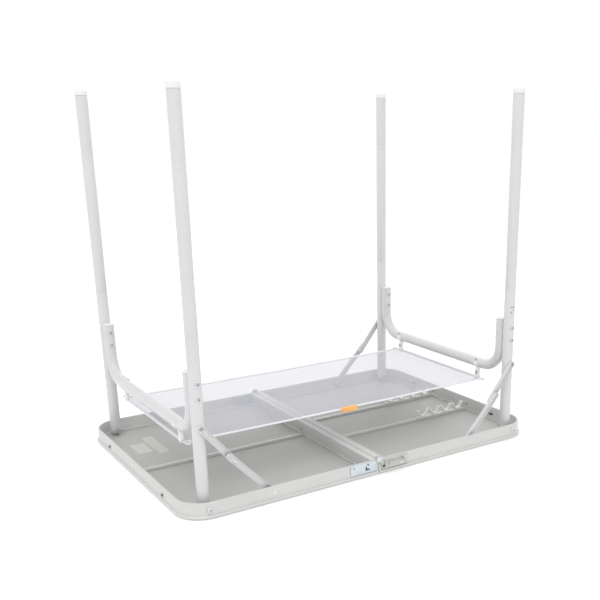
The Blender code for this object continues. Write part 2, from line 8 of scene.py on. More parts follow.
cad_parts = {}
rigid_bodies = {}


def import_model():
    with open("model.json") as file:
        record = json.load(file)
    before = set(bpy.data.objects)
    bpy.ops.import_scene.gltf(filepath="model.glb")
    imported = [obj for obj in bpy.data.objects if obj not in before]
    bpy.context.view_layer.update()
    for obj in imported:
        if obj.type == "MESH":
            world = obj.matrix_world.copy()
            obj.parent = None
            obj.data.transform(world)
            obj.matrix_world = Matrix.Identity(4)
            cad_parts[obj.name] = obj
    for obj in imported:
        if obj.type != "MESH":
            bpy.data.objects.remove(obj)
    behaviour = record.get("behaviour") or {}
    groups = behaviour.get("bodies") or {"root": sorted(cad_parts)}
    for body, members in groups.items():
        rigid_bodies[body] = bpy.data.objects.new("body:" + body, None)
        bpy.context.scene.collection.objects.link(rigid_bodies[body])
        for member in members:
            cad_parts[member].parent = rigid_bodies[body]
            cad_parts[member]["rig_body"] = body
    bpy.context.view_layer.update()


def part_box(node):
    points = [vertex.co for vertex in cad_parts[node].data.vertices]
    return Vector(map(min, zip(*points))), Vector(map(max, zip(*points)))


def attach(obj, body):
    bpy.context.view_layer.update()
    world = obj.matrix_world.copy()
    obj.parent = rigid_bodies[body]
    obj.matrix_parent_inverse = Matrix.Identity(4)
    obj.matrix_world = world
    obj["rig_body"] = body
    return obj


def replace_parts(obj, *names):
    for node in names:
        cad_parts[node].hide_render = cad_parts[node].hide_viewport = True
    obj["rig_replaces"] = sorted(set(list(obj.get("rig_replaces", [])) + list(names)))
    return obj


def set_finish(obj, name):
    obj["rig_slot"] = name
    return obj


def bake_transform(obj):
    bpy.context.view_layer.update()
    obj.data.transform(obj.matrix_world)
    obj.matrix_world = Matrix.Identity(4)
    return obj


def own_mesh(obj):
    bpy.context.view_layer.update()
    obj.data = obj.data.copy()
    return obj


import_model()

# ---- The room ----------------------------------------------------------------------------------
# A pale seamless floor, a soft white sky and two broad lamps, as in a product studio.
# The camera stands low in front of the table's near left leg and looks slightly down.
bpy.ops.object.select_all(action='DESELECT')
bpy.ops.mesh.primitive_plane_add(size=60, location=(0, 0, -0.0003))
floor = bpy.context.object
floor.name = "floor"
floor_paint = bpy.data.materials.new("floor_paint")
floor_paint.use_nodes = True
floor_paint.node_tree.nodes["Principled BSDF"].inputs["Base Color"].default_value = (0.96, 0.96, 0.96, 1)
floor_paint.node_tree.nodes["Principled BSDF"].inputs["Emission Color"].default_value = (1, 1, 1, 1)
floor_paint.node_tree.nodes["Principled BSDF"].inputs["Emission Strength"].default_value = 0.07
floor_paint.node_tree.nodes["Principled BSDF"].inputs["Roughness"].default_value = 0.9
floor.data.materials.append(floor_paint)

sky = bpy.data.worlds.new("studio_sky")
bpy.context.scene.world = sky
sky.use_nodes = True
sky.node_tree.nodes["Background"].inputs["Color"].default_value = (1.0, 1.0, 1.0, 1)
sky.node_tree.nodes["Background"].inputs["Strength"].default_value = 1.0
bpy.context.scene.view_settings.view_transform = 'Standard'

for lamp_name, lamp_place, lamp_size, lamp_watts in (
        ("key_lamp", (-1.2, -1.2, 3.2), 2.0, 26), ("rim_lamp", (1.6, 2.2, 2.0), 1.6, 10)):
    bpy.ops.object.light_add(type='AREA', location=lamp_place)
    lamp = bpy.context.object
    lamp.name = lamp_name
    lamp.data.size = lamp_size
    lamp.data.energy = lamp_watts
    lamp.rotation_euler = (Vector((0, 0, 0.2)) - Vector(lamp_place)).to_track_quat('-Z', 'Y').to_euler()

bpy.ops.object.camera_add(location=(-0.8618, -1.5230, 0.6474))
camera = bpy.context.object
camera.name = "view"
camera_look = Vector((0.5313, 0.7871, -0.3132)).to_track_quat('-Z', 'Y').to_matrix()
camera.rotation_euler = (camera_look @ Matrix.Rotation(math.radians(-0.30), 3, 'Z')).to_euler()
camera.data.lens = 51.84
camera.data.sensor_width = 36
camera.data.shift_x = -0.1238
camera.data.shift_y = 0.1713
camera.data.clip_end = 200
bpy.context.scene.camera = camera

# ---- Frames ------------------------------------------------------------------------------------
# Each half of the top has a drawn aluminium edge bent round its corners: a thin wall with a rolled
# bead along the foot and a flange over the board. The sheet is satin, with fine lines along it.
HALF_LENGTH = 0.388
HALF_WIDTH = 0.259
RIM_HEIGHT = 0.030
CORNER = 0.050
WALL = 0.0035
SEAM = 0.0006
FLANGE_TOP = 0.0056


class Socket:
    """One socket in a material. Plain sums on it add the Math nodes that work them out."""

    def __init__(self, tree, plug):
        self.tree = tree
        self.plug = plug

    def node(self, kind, settings, values, output=0):
        """Adds any other node: its settings first, then the numbers or links of its sockets."""
        made = self.tree.nodes.new(kind)
        for word, setting in settings.items():
            if word == "stops":
                for stop, (place, colour) in zip(made.color_ramp.elements, setting):
                    stop.position = place
                    stop.color = colour
            else:
                setattr(made, word, setting)
        for word, value in values.items():
            if isinstance(value, Socket):
                self.tree.links.new(value.plug, made.inputs[word])
            else:
                made.inputs[word].default_value = value
        return Socket(self.tree, made.outputs[output])

    def through(self, operation):
        """This value through a Math node that takes one input."""
        return self.node("ShaderNodeMath", {"operation": operation}, {0: self})

    def sum(self, operation, first, second):
        return self.node("ShaderNodeMath", {"operation": operation}, {0: first, 1: second})

    def __add__(self, other):
        return self.sum('ADD', self, other)

    def __sub__(self, other):
        return self.sum('SUBTRACT', self, other)

    def __rsub__(self, other):
        return self.sum('SUBTRACT', other, self)

    def __mul__(self, other):
        return self.sum('MULTIPLY', self, other)

    def __gt__(self, other):
        return self.sum('GREATER_THAN', self, other)

    def __lt__(self, other):
        return self.sum('LESS_THAN', self, other)

    __radd__ = __add__
    __rmul__ = __mul__

    def between(self, low, high):
        """1 where this value lies between the two, and 0 elsewhere."""
        return (self > low) * (self < high)

    def noise(self, scale, detail=3.0, stretch=(1, 1, 1)):
        """Soft mottling, in features a metre, drawn out along an axis where stretch is small."""
        drawn = self.node("ShaderNodeMapping", {}, {"Vector": self, "Scale": stretch})
        return self.node("ShaderNodeTexNoise", {}, {"Vector": drawn, "Scale": scale, "Detail": detail})

    def tint(self, dark, light):
        """A colour between the two, by this value."""
        return self.node("ShaderNodeMix", {"data_type": 'RGBA'}, {"Factor": self, "A": dark, "B": light}, 2)

    def axes(self):
        """X, Y and Z of this place."""
        return [self.node("ShaderNodeSeparateXYZ", {}, {0: self}, i) for i in range(3)]


def new_finish(name, metallic=0.0, coat=0.0, specular=0.5):
    """A material with its shader, and the piece's own place in metres to draw patterns on."""
    finish = bpy.data.materials.new(name)
    finish.use_nodes = True
    shader = finish.node_tree.nodes["Principled BSDF"]
    shader.inputs["Metallic"].default_value = metallic
    shader.inputs["Coat Weight"].default_value = coat
    shader.inputs["Specular IOR Level"].default_value = specular
    place = Socket(finish.node_tree, finish.node_tree.nodes.new("ShaderNodeTexCoord").outputs["Object"])
    return finish, shader, place


def paint(shader, place, colour, rough, height=None, depth=0.0):
    """Feeds what varies over the piece to its shader; height is raised by depth metres."""
    place.tree.links.new(colour.plug, shader.inputs["Base Color"])
    place.tree.links.new(rough.plug, shader.inputs["Roughness"])
    if height is not None:
        bump = place.node("ShaderNodeBump", {}, {"Height": height, "Distance": depth, "Strength": 1.0})
        place.tree.links.new(bump.plug, shader.inputs["Normal"])


def drawn_aluminium(name, along):
    """Satin aluminium with fine lines drawn along it: along is the axis, 0 for X or 1 for Y."""
    finish, shader, place = new_finish(name, metallic=0.20, coat=0.10)
    lines = [1, 1, 1]
    lines[along] = 0.02
    streak = place.noise(1500, 2, lines)
    cloud = place.noise(14, 3)
    tone = streak * 0.7 + cloud * 0.3
    paint(shader, place, tone.tint((0.50, 0.50, 0.49, 1), (0.71, 0.71, 0.695, 1)),
          streak * 0.14 + 0.34, streak, 0.00002)
    return finish


def choose(test, kind='VERT'):
    """Selects the points or faces of the piece in edit mode whose place passes the test."""
    bpy.ops.mesh.select_mode(type=kind)
    bpy.ops.mesh.select_all(action='DESELECT')
    shape = bmesh.from_edit_mesh(bpy.context.object.data)
    for item in (shape.verts if kind == 'VERT' else shape.faces):
        item.select_set(bool(test(item.co if kind == 'VERT' else item.calc_center_median())))
    shape.select_flush_mode()
    bmesh.update_edit_mesh(bpy.context.object.data)


def drawn_up(profile, around, closed=False):
    """A ring of points drawn up into a turned wall, one (radius, height) after another."""
    bpy.ops.object.select_all(action='DESELECT')
    radius, height = profile[0]
    bpy.ops.mesh.primitive_circle_add(vertices=around, radius=radius, location=(0, 0, height))
    bpy.ops.object.transform_apply(location=True)
    bpy.ops.object.mode_set(mode='EDIT')
    bpy.ops.mesh.select_mode(type='VERT')
    bpy.ops.mesh.select_all(action='SELECT')
    for next_radius, next_height in profile[1:] + ([profile[0]] if closed else []):
        bpy.ops.mesh.extrude_region_move(TRANSFORM_OT_translate={"value": (0, 0, next_height - height)})
        ratio = next_radius / radius
        bpy.ops.transform.resize(value=(ratio, ratio, 1), center_override=(0, 0, next_height))
        radius, height = next_radius, next_height
    if closed:
        bpy.ops.mesh.select_all(action='SELECT')
        bpy.ops.mesh.remove_doubles(threshold=0.000001)
    else:
        for end in (profile[0], profile[-1]):
            choose(lambda co: abs(co.z - end[1]) < 1e-7 and abs(math.hypot(co.x, co.y) - end[0]) < 1e-5)
            bpy.ops.mesh.edge_face_add()
    bpy.ops.mesh.select_all(action='SELECT')
    bpy.ops.mesh.normals_make_consistent(inside=False)
    return bpy.context.object


def cut_away(point, normal):
    """Cuts the piece in edit mode and drops what is on the side that the normal points to."""
    bpy.ops.mesh.select_all(action='SELECT')
    bpy.ops.mesh.bisect(plane_co=point, plane_no=normal, use_fill=True, clear_outer=True)


def done(piece, name, finish, body, slot, nodes=(), angle=35):
    """Leaves edit mode, smooths what is round, and files the piece with its body and its nodes."""
    if bpy.context.object.mode == 'EDIT':
        bpy.ops.object.mode_set(mode='OBJECT')
    bpy.ops.object.select_all(action='DESELECT')
    bpy.context.view_layer.objects.active = piece
    piece.select_set(True)
    bpy.ops.object.transform_apply(location=True, rotation=True, scale=True)
    bpy.ops.object.shade_smooth_by_angle(angle=math.radians(angle))
    piece.name = name
    piece.data.name = name
    piece.data.materials.clear()
    piece.data.materials.append(finish)
    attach(piece, body)
    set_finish(piece, slot)
    if nodes:
        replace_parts(piece, *nodes)
    return piece


def another(piece, name, move=(0, 0, 0), flip=(1, 1, 1)):
    """A copy of a finished piece with its own mesh, flipped about the middle and then moved."""
    copy = piece.copy()
    copy.data = piece.data.copy()
    bpy.context.collection.objects.link(copy)
    copy.name = name
    copy.data.name = name
    copy.parent = None
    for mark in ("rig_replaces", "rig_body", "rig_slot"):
        if mark in copy:
            del copy[mark]
    copy.matrix_world = Matrix.Identity(4)
    copy.data.transform(Matrix.Translation(move) @ Matrix.Diagonal((*flip, 1)))
    if flip[0] * flip[1] * flip[2] < 0:
        copy.data.flip_normals()
    return copy


def spread_corners(reach_x, reach_y):
    """Moves the four quarters of a turned piece out to the corners of the top."""
    for to_x in (-1, 1):
        for to_y in (-1, 1):
            choose(lambda co: co.x * to_x > 0 and co.y * to_y > 0)
            bpy.ops.transform.translate(value=(to_x * reach_x, to_y * reach_y, 0))


bead = [(CORNER + 0.0001 + 0.0034 * math.sin(math.radians(a)), 0.0034 - 0.0034 * math.cos(math.radians(a)))
        for a in (0, 15, 35, 60, 90, 120, 145, 165, 180)]
edge = [(CORNER - WALL, 0.0)] + bead + [
    (CORNER, 0.0074), (CORNER, RIM_HEIGHT - 0.0010), (CORNER - 0.0004, RIM_HEIGHT - 0.0003),
    (CORNER - 0.0010, RIM_HEIGHT), (CORNER - WALL + 0.0010, RIM_HEIGHT),
    (CORNER - WALL + 0.0003, RIM_HEIGHT - 0.0004), (CORNER - WALL, RIM_HEIGHT - 0.0010),
    (CORNER - WALL, FLANGE_TOP + 0.0012), (CORNER - WALL - 0.0004, FLANGE_TOP + 0.0003),
    (CORNER - WALL - 0.0012, FLANGE_TOP), (CORNER - WALL - 0.0098, FLANGE_TOP),
    (CORNER - WALL - 0.0100, 0.0043), (CORNER - WALL, 0.0043)]
frame_silver = drawn_aluminium("frame_silver", 0)
for word, side in (("left", -1), ("right", 1)):
    rim = drawn_up(edge, 72, closed=True)
    bpy.ops.mesh.select_all(action='SELECT')
    bpy.ops.transform.rotate(value=math.radians(2.5), orient_axis='Z', center_override=(0, 0, 0))
    spread_corners(HALF_LENGTH - CORNER, HALF_WIDTH - CORNER)
    cut_away((side * SEAM, 0, 0), (-side, 0, 0))
    done(rim, word + "_rim", frame_silver, word + "_half", "frame_silver", [word + "_frame"])

# ---- Boards and labels -------------------------------------------------------------------------
# The top is a thin painted fibreboard sheet under the flange, its underside a plain mid grey.
# Two paper labels are stuck near the left end. They are left blank.
finish, shader, place = new_finish("board_paint", coat=0.05)
speck = place.noise(900, 4)
cloud = place.noise(6, 4)
paint(shader, place, (speck * 0.35 + cloud * 0.65).tint((0.41, 0.415, 0.395, 1), (0.50, 0.505, 0.485, 1)),
      cloud * 0.20 + 0.38, speck, 0.00004)
board_paint = finish
BOARD = 0.0040
for word, side in (("left", -1), ("right", 1)):
    inside = CORNER - WALL - 0.0003
    sheet = drawn_up([(inside - 0.0004, 0.0), (inside, 0.0004), (inside, BOARD - 0.0004),
                      (inside - 0.0004, BOARD)], 72)
    bpy.ops.mesh.select_all(action='SELECT')
    bpy.ops.transform.rotate(value=math.radians(2.5), orient_axis='Z', center_override=(0, 0, 0))
    spread_corners(HALF_LENGTH - CORNER, HALF_WIDTH - CORNER)
    cut_away((side * SEAM, 0, 0), (-side, 0, 0))
    done(sheet, word + "_top_sheet", board_paint, word + "_half", "board_grey", [word + "_board"])

finish, shader, place = new_finish("label_paper")
fibre = place.noise(700, 5)
paint(shader, place, fibre.tint((0.55, 0.54, 0.50, 1), (0.66, 0.64, 0.59, 1)), fibre * 0.2 + 0.5,
      fibre, 0.00003)
for name, low, high in (("big_label", (-0.3465, 0.090), (-0.3160, 0.149)),
                        ("small_label", (-0.3110, 0.072), (-0.2880, 0.1785))):
    bpy.ops.object.select_all(action='DESELECT')
    middle = ((low[0] + high[0]) / 2, (low[1] + high[1]) / 2, BOARD + 0.00012)
    bpy.ops.mesh.primitive_cube_add(size=1, location=middle,
                                    scale=(high[0] - low[0], high[1] - low[1], 0.00016))
    bpy.ops.object.transform_apply(location=True, scale=True)
    bpy.ops.object.mode_set(mode='EDIT')
    bpy.ops.mesh.select_mode(type='EDGE')
    bpy.ops.mesh.select_all(action='DESELECT')
    shape = bmesh.from_edit_mesh(bpy.context.object.data)
    for line in shape.edges:
        line.select_set(abs(line.verts[0].co.z - line.verts[1].co.z) > 0.0001)
    bmesh.update_edit_mesh(bpy.context.object.data)
    bpy.ops.mesh.bevel(offset=0.0025, segments=4)
    done(bpy.context.object, name, finish, "left_half", "cap_plastic")

# ---- Seam rails --------------------------------------------------------------------------------
# A folded aluminium channel runs along each half's seam edge, with a low foot on the board.
# Its top is a smooth strip, and a step runs down its inner side.
RAIL_WIDTH = 0.0145
RAIL_REACH = HALF_WIDTH - WALL - 0.0003
rail_silver = drawn_aluminium("rail_silver", 1)


def bar(low, high, soften, steps=3):
    """A straight bar between two corners, its long edges softened."""
    bpy.ops.object.select_all(action='DESELECT')
    low, high = Vector(low), Vector(high)
    bpy.ops.mesh.primitive_cube_add(size=1, location=(low + high) / 2, scale=high - low)
    bpy.ops.object.transform_apply(location=True, scale=True)
    bpy.ops.object.mode_set(mode='EDIT')
    bpy.ops.mesh.select_mode(type='EDGE')
    bpy.ops.mesh.select_all(action='SELECT')
    bpy.ops.mesh.bevel(offset=soften, segments=steps)
    return bpy.context.object


def pushed_in(piece, test, inset, depth):
    """Insets the faces of the piece that pass the test and presses them in along their normal."""
    if bpy.context.object.mode == 'OBJECT':
        bpy.ops.object.mode_set(mode='EDIT')
    choose(test, 'FACE')
    bpy.ops.mesh.inset(thickness=inset, use_even_offset=True)
    bpy.ops.mesh.extrude_region_shrink_fatten(TRANSFORM_OT_shrink_fatten={"value": depth})
    return piece


for word, side in (("left", -1), ("right", 1)):
    ends = sorted((side * SEAM, side * (SEAM + RAIL_WIDTH)))
    rail = bar((ends[0], -RAIL_REACH, 0.0059), (ends[1], RAIL_REACH, RIM_HEIGHT), 0.0009)
    pushed_in(rail, lambda co: abs(co.z - RIM_HEIGHT) < 1e-5, 0.0018, -0.0006)
    done(rail, word + "_rail", rail_silver, word + "_half", "frame_silver", [word + "_seam_rail"])
    ends = sorted((side * (SEAM + RAIL_WIDTH - 0.002), side * (SEAM + RAIL_WIDTH + 0.0040)))
    foot = bar((ends[0], -RAIL_REACH + 0.0105, 0.0044), (ends[1], RAIL_REACH - 0.0105, 0.0062), 0.0006)
    done(foot, word + "_rail_foot", rail_silver, word + "_half", "frame_silver")

# ---- Ribs --------------------------------------------------------------------------------------
# Low aluminium strips glued across the board stiffen it: one on the left half and two on the right.
# Each has a raised middle and a fine shadow line on both sides.
for name, side, rib_y in (("left_rib", -1, 0.0), ("right_rib_near", 1, -0.063), ("right_rib_far", 1, 0.063)):
    ends = sorted((side * 0.0194, side * 0.3742))
    strip = bar((ends[0], rib_y - 0.006, 0.0043), (ends[1], rib_y + 0.006, 0.0062), 0.0005)
    choose(lambda co: abs(co.z - 0.0062) < 1e-5, 'FACE')
    bpy.ops.mesh.inset(thickness=0.0012, use_even_offset=True)
    bpy.ops.mesh.extrude_region_move(TRANSFORM_OT_translate={"value": (0, 0, 0.0021)})
    done(strip, name + "_strip", frame_silver, "left_half" if side < 0 else "right_half",
         "frame_silver", [name])

# ---- Legs --------------------------------------------------------------------------------------
# Powder coated aluminium tube. The lower stub has a rounded closed end at its pivot, and the long
# extension is swaged down to push into it, with a crimped ring near the foot and a moulded cap.
LEG_X = 0.346
LEG_Y = 0.232
TUBE = 0.011
PIVOT_Z = 0.0165
STUB_TOP = 0.3130
HEIGHT = 0.700
CORNERS = [(place, word, far, side) for far, place in ((-1, "near"), (1, "far"))
           for side, word in ((-1, "left"), (1, "right"))]


def powder_coat(name, light, dark, rough):
    """Baked powder paint: a faint orange peel, slightly uneven in tone and gloss."""
    finish, shader, place = new_finish(name, coat=0.25)
    peel = place.noise(1100, 3)
    cloud = place.noise(9, 3)
    scuff = place.noise(160, 5, (1, 1, 0.15)).between(0.70, 0.72) * 0.25
    paint(shader, place, (cloud * 0.6 + peel * 0.4 - scuff).tint(dark, light),
          peel * 0.10 + rough + scuff * 0.3,
          peel, 0.000035)
    return finish


leg_white = powder_coat("leg_white", (0.68, 0.68, 0.68, 1), (0.56, 0.56, 0.56, 1), 0.32)
finish, shader, place = new_finish("cap_plastic", specular=0.4)
grain = place.noise(1800, 4)
paint(shader, place, grain.tint((0.70, 0.70, 0.70, 1), (0.82, 0.82, 0.82, 1)), grain * 0.2 + 0.42, grain,
      0.00003)
cap_plastic = finish

lower_end = [(TUBE * math.sin(math.radians(a)), PIVOT_Z - TUBE * math.cos(math.radians(a)) * 0.995)
             for a in (6, 14, 24, 36, 48, 60, 72, 84)]
stub = drawn_up([(0.0099, STUB_TOP - 0.012)] + [(0.0099, STUB_TOP - 0.0002), (0.0103, STUB_TOP),
                (0.0109, STUB_TOP), (TUBE, STUB_TOP - 0.0002), (TUBE, 0.05), (TUBE, PIVOT_Z)]
                + lower_end[::-1], 40)
done(stub, "stub_pattern", leg_white, "left_leg_frame", "leg_white")
RING_HEIGHTS = (0.5835, 0.5750)
leg_line = [(TUBE - 0.0014, HEIGHT - 0.0098), (TUBE - 0.0004, HEIGHT - 0.0096), (TUBE, HEIGHT - 0.0101)]
for ring_z in RING_HEIGHTS:
    leg_line += [(TUBE, ring_z + 0.0016), (TUBE - 0.00035, ring_z + 0.0005),
                 (TUBE - 0.00035, ring_z - 0.0005), (TUBE, ring_z - 0.0016)]
leg_line += [(TUBE, STUB_TOP + 0.0004), (TUBE - 0.0001, STUB_TOP + 0.0001), (0.0094, STUB_TOP + 0.0001),
             (0.0094, STUB_TOP - 0.0490), (0.0090, STUB_TOP - 0.0497), (0.0080, STUB_TOP - 0.0497)]
leg = drawn_up(leg_line, 40)
done(leg, "leg_pattern", leg_white, "near_left_extension", "leg_white")
cap = drawn_up([(0.0094, HEIGHT - 0.024), (0.0094, HEIGHT - 0.0094), (0.0113, HEIGHT - 0.0093),
                (0.0113, HEIGHT - 0.0060), (0.0112, HEIGHT - 0.0028), (0.0106, HEIGHT - 0.0009),
                (0.0094, HEIGHT - 0.0001), (0.0078, HEIGHT), (0.0060, HEIGHT), (0.0055, HEIGHT - 0.0006),
                (0.0010, HEIGHT - 0.0006)], 40)
done(cap, "cap_pattern", cap_plastic, "near_left_extension", "cap_plastic")


def filed(piece, finish, body, slot, *nodes):
    """Gives a copied piece its finish, its body, its slot and the nodes that it stands for."""
    piece.data.materials.clear()
    piece.data.materials.append(finish)
    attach(piece, body)
    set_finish(piece, slot)
    if nodes:
        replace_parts(piece, *nodes)
    return piece


for place_word, word, far, side in CORNERS:
    corner = f"{place_word}_{word}"
    at = (side * LEG_X, far * LEG_Y, 0)
    filed(another(stub, corner + "_lower_leg", at), leg_white, word + "_leg_frame", "leg_white",
          corner + "_leg_stub")
    filed(another(leg, corner + "_upper_leg", at), leg_white, corner + "_extension", "leg_white",
          corner + "_leg_extension")
    filed(another(cap, corner + "_foot", at), cap_plastic, corner + "_extension", "cap_plastic",
          corner + "_foot_cap")
for pattern in (stub, leg, cap):
    bpy.data.objects.remove(pattern, do_unlink=True)

# ---- Braces between the legs -------------------------------------------------------------------
# One tube is bent into a wide U for each pair of legs: its arms lie beside the legs and are screwed
# to them, and its cross tube carries the net. Small moulded plugs close the arms' ends.
ARM_Y = 0.2097
U_TOP = 0.2490
CROSS_Z = 0.1400
BEND = 0.050
bpy.ops.object.select_all(action='DESELECT')
bpy.ops.mesh.primitive_circle_add(vertices=32, radius=TUBE - 0.0008, location=(0, ARM_Y, U_TOP))
bpy.ops.object.transform_apply(location=True)
bpy.ops.object.mode_set(mode='EDIT')
bpy.ops.mesh.select_all(action='SELECT')
grown = TUBE / (TUBE - 0.0008)
bpy.ops.mesh.extrude_region_move(TRANSFORM_OT_translate={"value": (0, 0, -0.0004)})
bpy.ops.transform.resize(value=(grown, grown, 1), center_override=(0, ARM_Y, 0))
bpy.ops.mesh.extrude_region_move(TRANSFORM_OT_translate={"value": (0, 0, CROSS_Z + BEND - U_TOP + 0.0004)})


def turn_the_bend(hub_y, hub_z, steps, angle):
    """Draws the open end of the tube round a bend, a step at a time."""
    for _ in range(steps):
        bpy.ops.mesh.extrude_region_move(TRANSFORM_OT_translate={"value": (0, 0, 0)})
        shape = bmesh.from_edit_mesh(bpy.context.object.data)
        ends = [v for v in shape.verts if v.select]
        bmesh.ops.rotate(shape, cent=(0, hub_y, hub_z), verts=ends,
                         matrix=Matrix.Rotation(math.radians(angle / steps), 3, 'X'))
        bmesh.update_edit_mesh(bpy.context.object.data)


turn_the_bend(ARM_Y - BEND, CROSS_Z + BEND, 16, -90)
bpy.ops.mesh.extrude_region_move(TRANSFORM_OT_translate={"value": (0, -2 * (ARM_Y - BEND), 0)})
turn_the_bend(BEND - ARM_Y, CROSS_Z + BEND, 16, -90)
bpy.ops.mesh.extrude_region_move(TRANSFORM_OT_translate={"value": (0, 0, U_TOP - CROSS_Z - BEND - 0.0004)})
bpy.ops.mesh.extrude_region_move(TRANSFORM_OT_translate={"value": (0, 0, 0.0004)})
bpy.ops.transform.resize(value=(1 / grown, 1 / grown, 1), center_override=(0, -ARM_Y, 0))
for end in (-1, 1):
    choose(lambda co: co.z > U_TOP - 0.00001 and co.y * end > 0)
    bpy.ops.mesh.edge_face_add()
bpy.ops.mesh.select_all(action='SELECT')
bpy.ops.mesh.normals_make_consistent(inside=False)
brace = bpy.context.object
done(brace, "brace_pattern", leg_white, "left_leg_frame", "leg_white")
for word, side in (("left", -1), ("right", 1)):
    filed(another(brace, word + "_brace", (side * LEG_X, 0, 0)), leg_white, word + "_leg_frame",
          "leg_white", word + "_u_tube")
bpy.data.objects.remove(brace, do_unlink=True)

plug = drawn_up([(0.0092, U_TOP - 0.008), (0.0092, U_TOP + 0.0001), (0.0110, U_TOP + 0.0003),
                 (0.0110, U_TOP + 0.0009), (0.0105, U_TOP + 0.0017), (0.0093, U_TOP + 0.0023),
                 (0.0070, U_TOP + 0.0025), (0.0010, U_TOP + 0.0025)], 40)
done(plug, "plug_pattern", cap_plastic, "left_leg_frame", "cap_plastic")
for place_word, word, far, side in CORNERS:
    filed(another(plug, f"{place_word}_{word}_plug", (side * LEG_X, far * ARM_Y, 0)), cap_plastic,
          word + "_leg_frame", "cap_plastic", f"{place_word}_{word}_arm_plug")
bpy.data.objects.remove(plug, do_unlink=True)

# ---- Screws and leg bolts ----------------------------------------------------------------------
# Zinc plated screws with a six sided socket, each on a pale washer, hold the brace to the legs.
# The legs turn on heavier domed bolts that go in from outside the rim.


def plated(name, dark, light, rough):
    """Zinc plate: a bright metal with soft patches where the passivation is thicker."""
    finish, shader, place = new_finish(name, metallic=0.85)
    patch = place.noise(60, 4)
    fine = place.noise(1400, 3)
    paint(shader, place, (patch * 0.75 + fine * 0.25).tint(dark, light), fine * 0.16 + patch * 0.10 + rough,
          fine, 0.00002)
    return finish


screw_steel = plated("screw_steel", (0.36, 0.37, 0.38, 1), (0.64, 0.65, 0.66, 1), 0.26)
washer_zinc = plated("washer_zinc", (0.60, 0.61, 0.62, 1), (0.82, 0.83, 0.84, 1), 0.34)


# Painted shade: a near-black mottled finish laid on screw sockets, rivet hollows, the hinge slot, spot and
# keyhole and the wall notches, where shade falls.
socket_shadow, shader, place = new_finish("socket_shadow", specular=0.2)
shadow_mottle = place.noise(500, 3)
paint(shader, place, shadow_mottle.tint((0.03, 0.03, 0.035, 1), (0.09, 0.09, 0.10, 1)), shadow_mottle * 0.2 + 0.6)


def socket_screw(size):
    """A button head with a six sided socket, standing on Z, with a head of that radius."""
    head = drawn_up([(size, 0.0), (size, size * 0.22), (size * 0.93, size * 0.42), (size * 0.76, size * 0.58),
                     (size * 0.60, size * 0.64)], 24)
    choose(lambda co: co.z > size * 0.63, 'FACE')
    bpy.ops.mesh.extrude_region_move(TRANSFORM_OT_translate={"value": (0, 0, -size * 0.42)})
    bpy.ops.transform.resize(value=(0.94, 0.94, 1))
    return head


def stood(piece, towards):
    """Turns a piece that stands on Z to stand on the given axis. The piece is in object mode."""
    turn = Vector((0, 0, 1)).rotation_difference(Vector(towards)).to_matrix().to_4x4()
    piece.data.transform(turn)
    return piece


SCREW_HEAD = 0.0033
screw = done(socket_screw(SCREW_HEAD), "screw_pattern", screw_steel, "left_half", "zinc")
# The faces inside the socket take the second finish, a near-black painted shade.
for face in screw.data.polygons:
    inside_socket = math.hypot(face.center.x, face.center.y) < SCREW_HEAD * 0.595
    face.material_index = 1 if inside_socket and face.center.z > 0.0001 else 0
done(drawn_up([(0.0024, 0.0), (0.0052, 0.0), (0.0055, 0.0003), (0.0055, 0.0007), (0.0052, 0.0010),
               (0.0024, 0.0010)], 28), "washer_pattern", washer_zinc, "left_half", "zinc")
washer = bpy.data.objects["washer_pattern"]
done(drawn_up([(0.0024, -0.0002), (0.0053, -0.0002), (0.0053, 0.0004), (0.0050, 0.0012), (0.0042, 0.0020),
               (0.0028, 0.0024), (0.0010, 0.0025)], 28), "dome_pattern", washer_zinc, "left_half", "zinc")
dome = bpy.data.objects["dome_pattern"]


done(drawn_up([(0.0010, -0.0415), (0.0040, -0.0415), (0.0052, -0.0408), (0.0052, -0.0389), (0.0047, -0.0384),
               (0.0030, -0.0384), (0.0029, 0.0)], 18), "shank_pattern", screw_steel, "left_half", "zinc")
shank = bpy.data.objects["shank_pattern"]


def fix_screw(name, at, towards, body, washered=True, scale=1.0, head=None):
    """Puts a screw, and its washer if it has one, at a place and facing a way."""
    lift = Vector(towards) * 0.0008 if washered else Vector((0, 0, 0))
    driven = stood(another(head or screw, name), towards)
    driven.data.transform(Matrix.Translation(Vector(at) + lift) @ Matrix.Scale(scale, 4))
    filed(driven, screw_steel, body, "zinc")
    # The second finish is the near-black painted shade for the socket or the rivet's hollow.
    driven.data.materials.append(socket_shadow)
    if head is not None:
        driven.data.materials[0] = washer_zinc
    if washered:
        under = stood(another(washer, name + "_washer"), towards)
        under.data.transform(Matrix.Translation(at) @ Matrix.Scale(scale, 4))
        filed(under, washer_zinc, body, "zinc")
    return driven


finish, shader, place = new_finish("dimple_dark", metallic=0.3)
wear = place.noise(600, 3)
paint(shader, place, wear.tint((0.22, 0.22, 0.22, 1), (0.42, 0.42, 0.42, 1)), wear * 0.2 + 0.4)
button = drawn_up([(0.0024, -0.0010), (0.0024, 0.0002), (0.0020, 0.0009), (0.0012, 0.0013),
                   (0.0004, 0.0014)], 20)
done(button, "button_pattern", finish, "left_half", "zinc")
for place_word, word, far, side in [corner for corner in CORNERS if corner[1] == "right"]:
    for number, (turn, height, size) in enumerate(((0.02, 0.279, 0.8), (-0.45, 0.2785, 0.55),
                                                   (-0.02, 0.2725, 0.5), (-0.40, 0.268, 0.65))):
        outward = (side * math.sin(turn), far * math.cos(turn), 0)
        stud = stood(another(button, f"{place_word}_{word}_lock_button_{number + 1}"), outward)
        stud.data.transform(Matrix.Translation((side * LEG_X + outward[0] * TUBE,
                                                far * LEG_Y + outward[1] * TUBE,
                                                height)) @ Matrix.Scale(size, 4))
        filed(stud, finish, word + "_leg_frame", "zinc")
bpy.data.objects.remove(button, do_unlink=True)
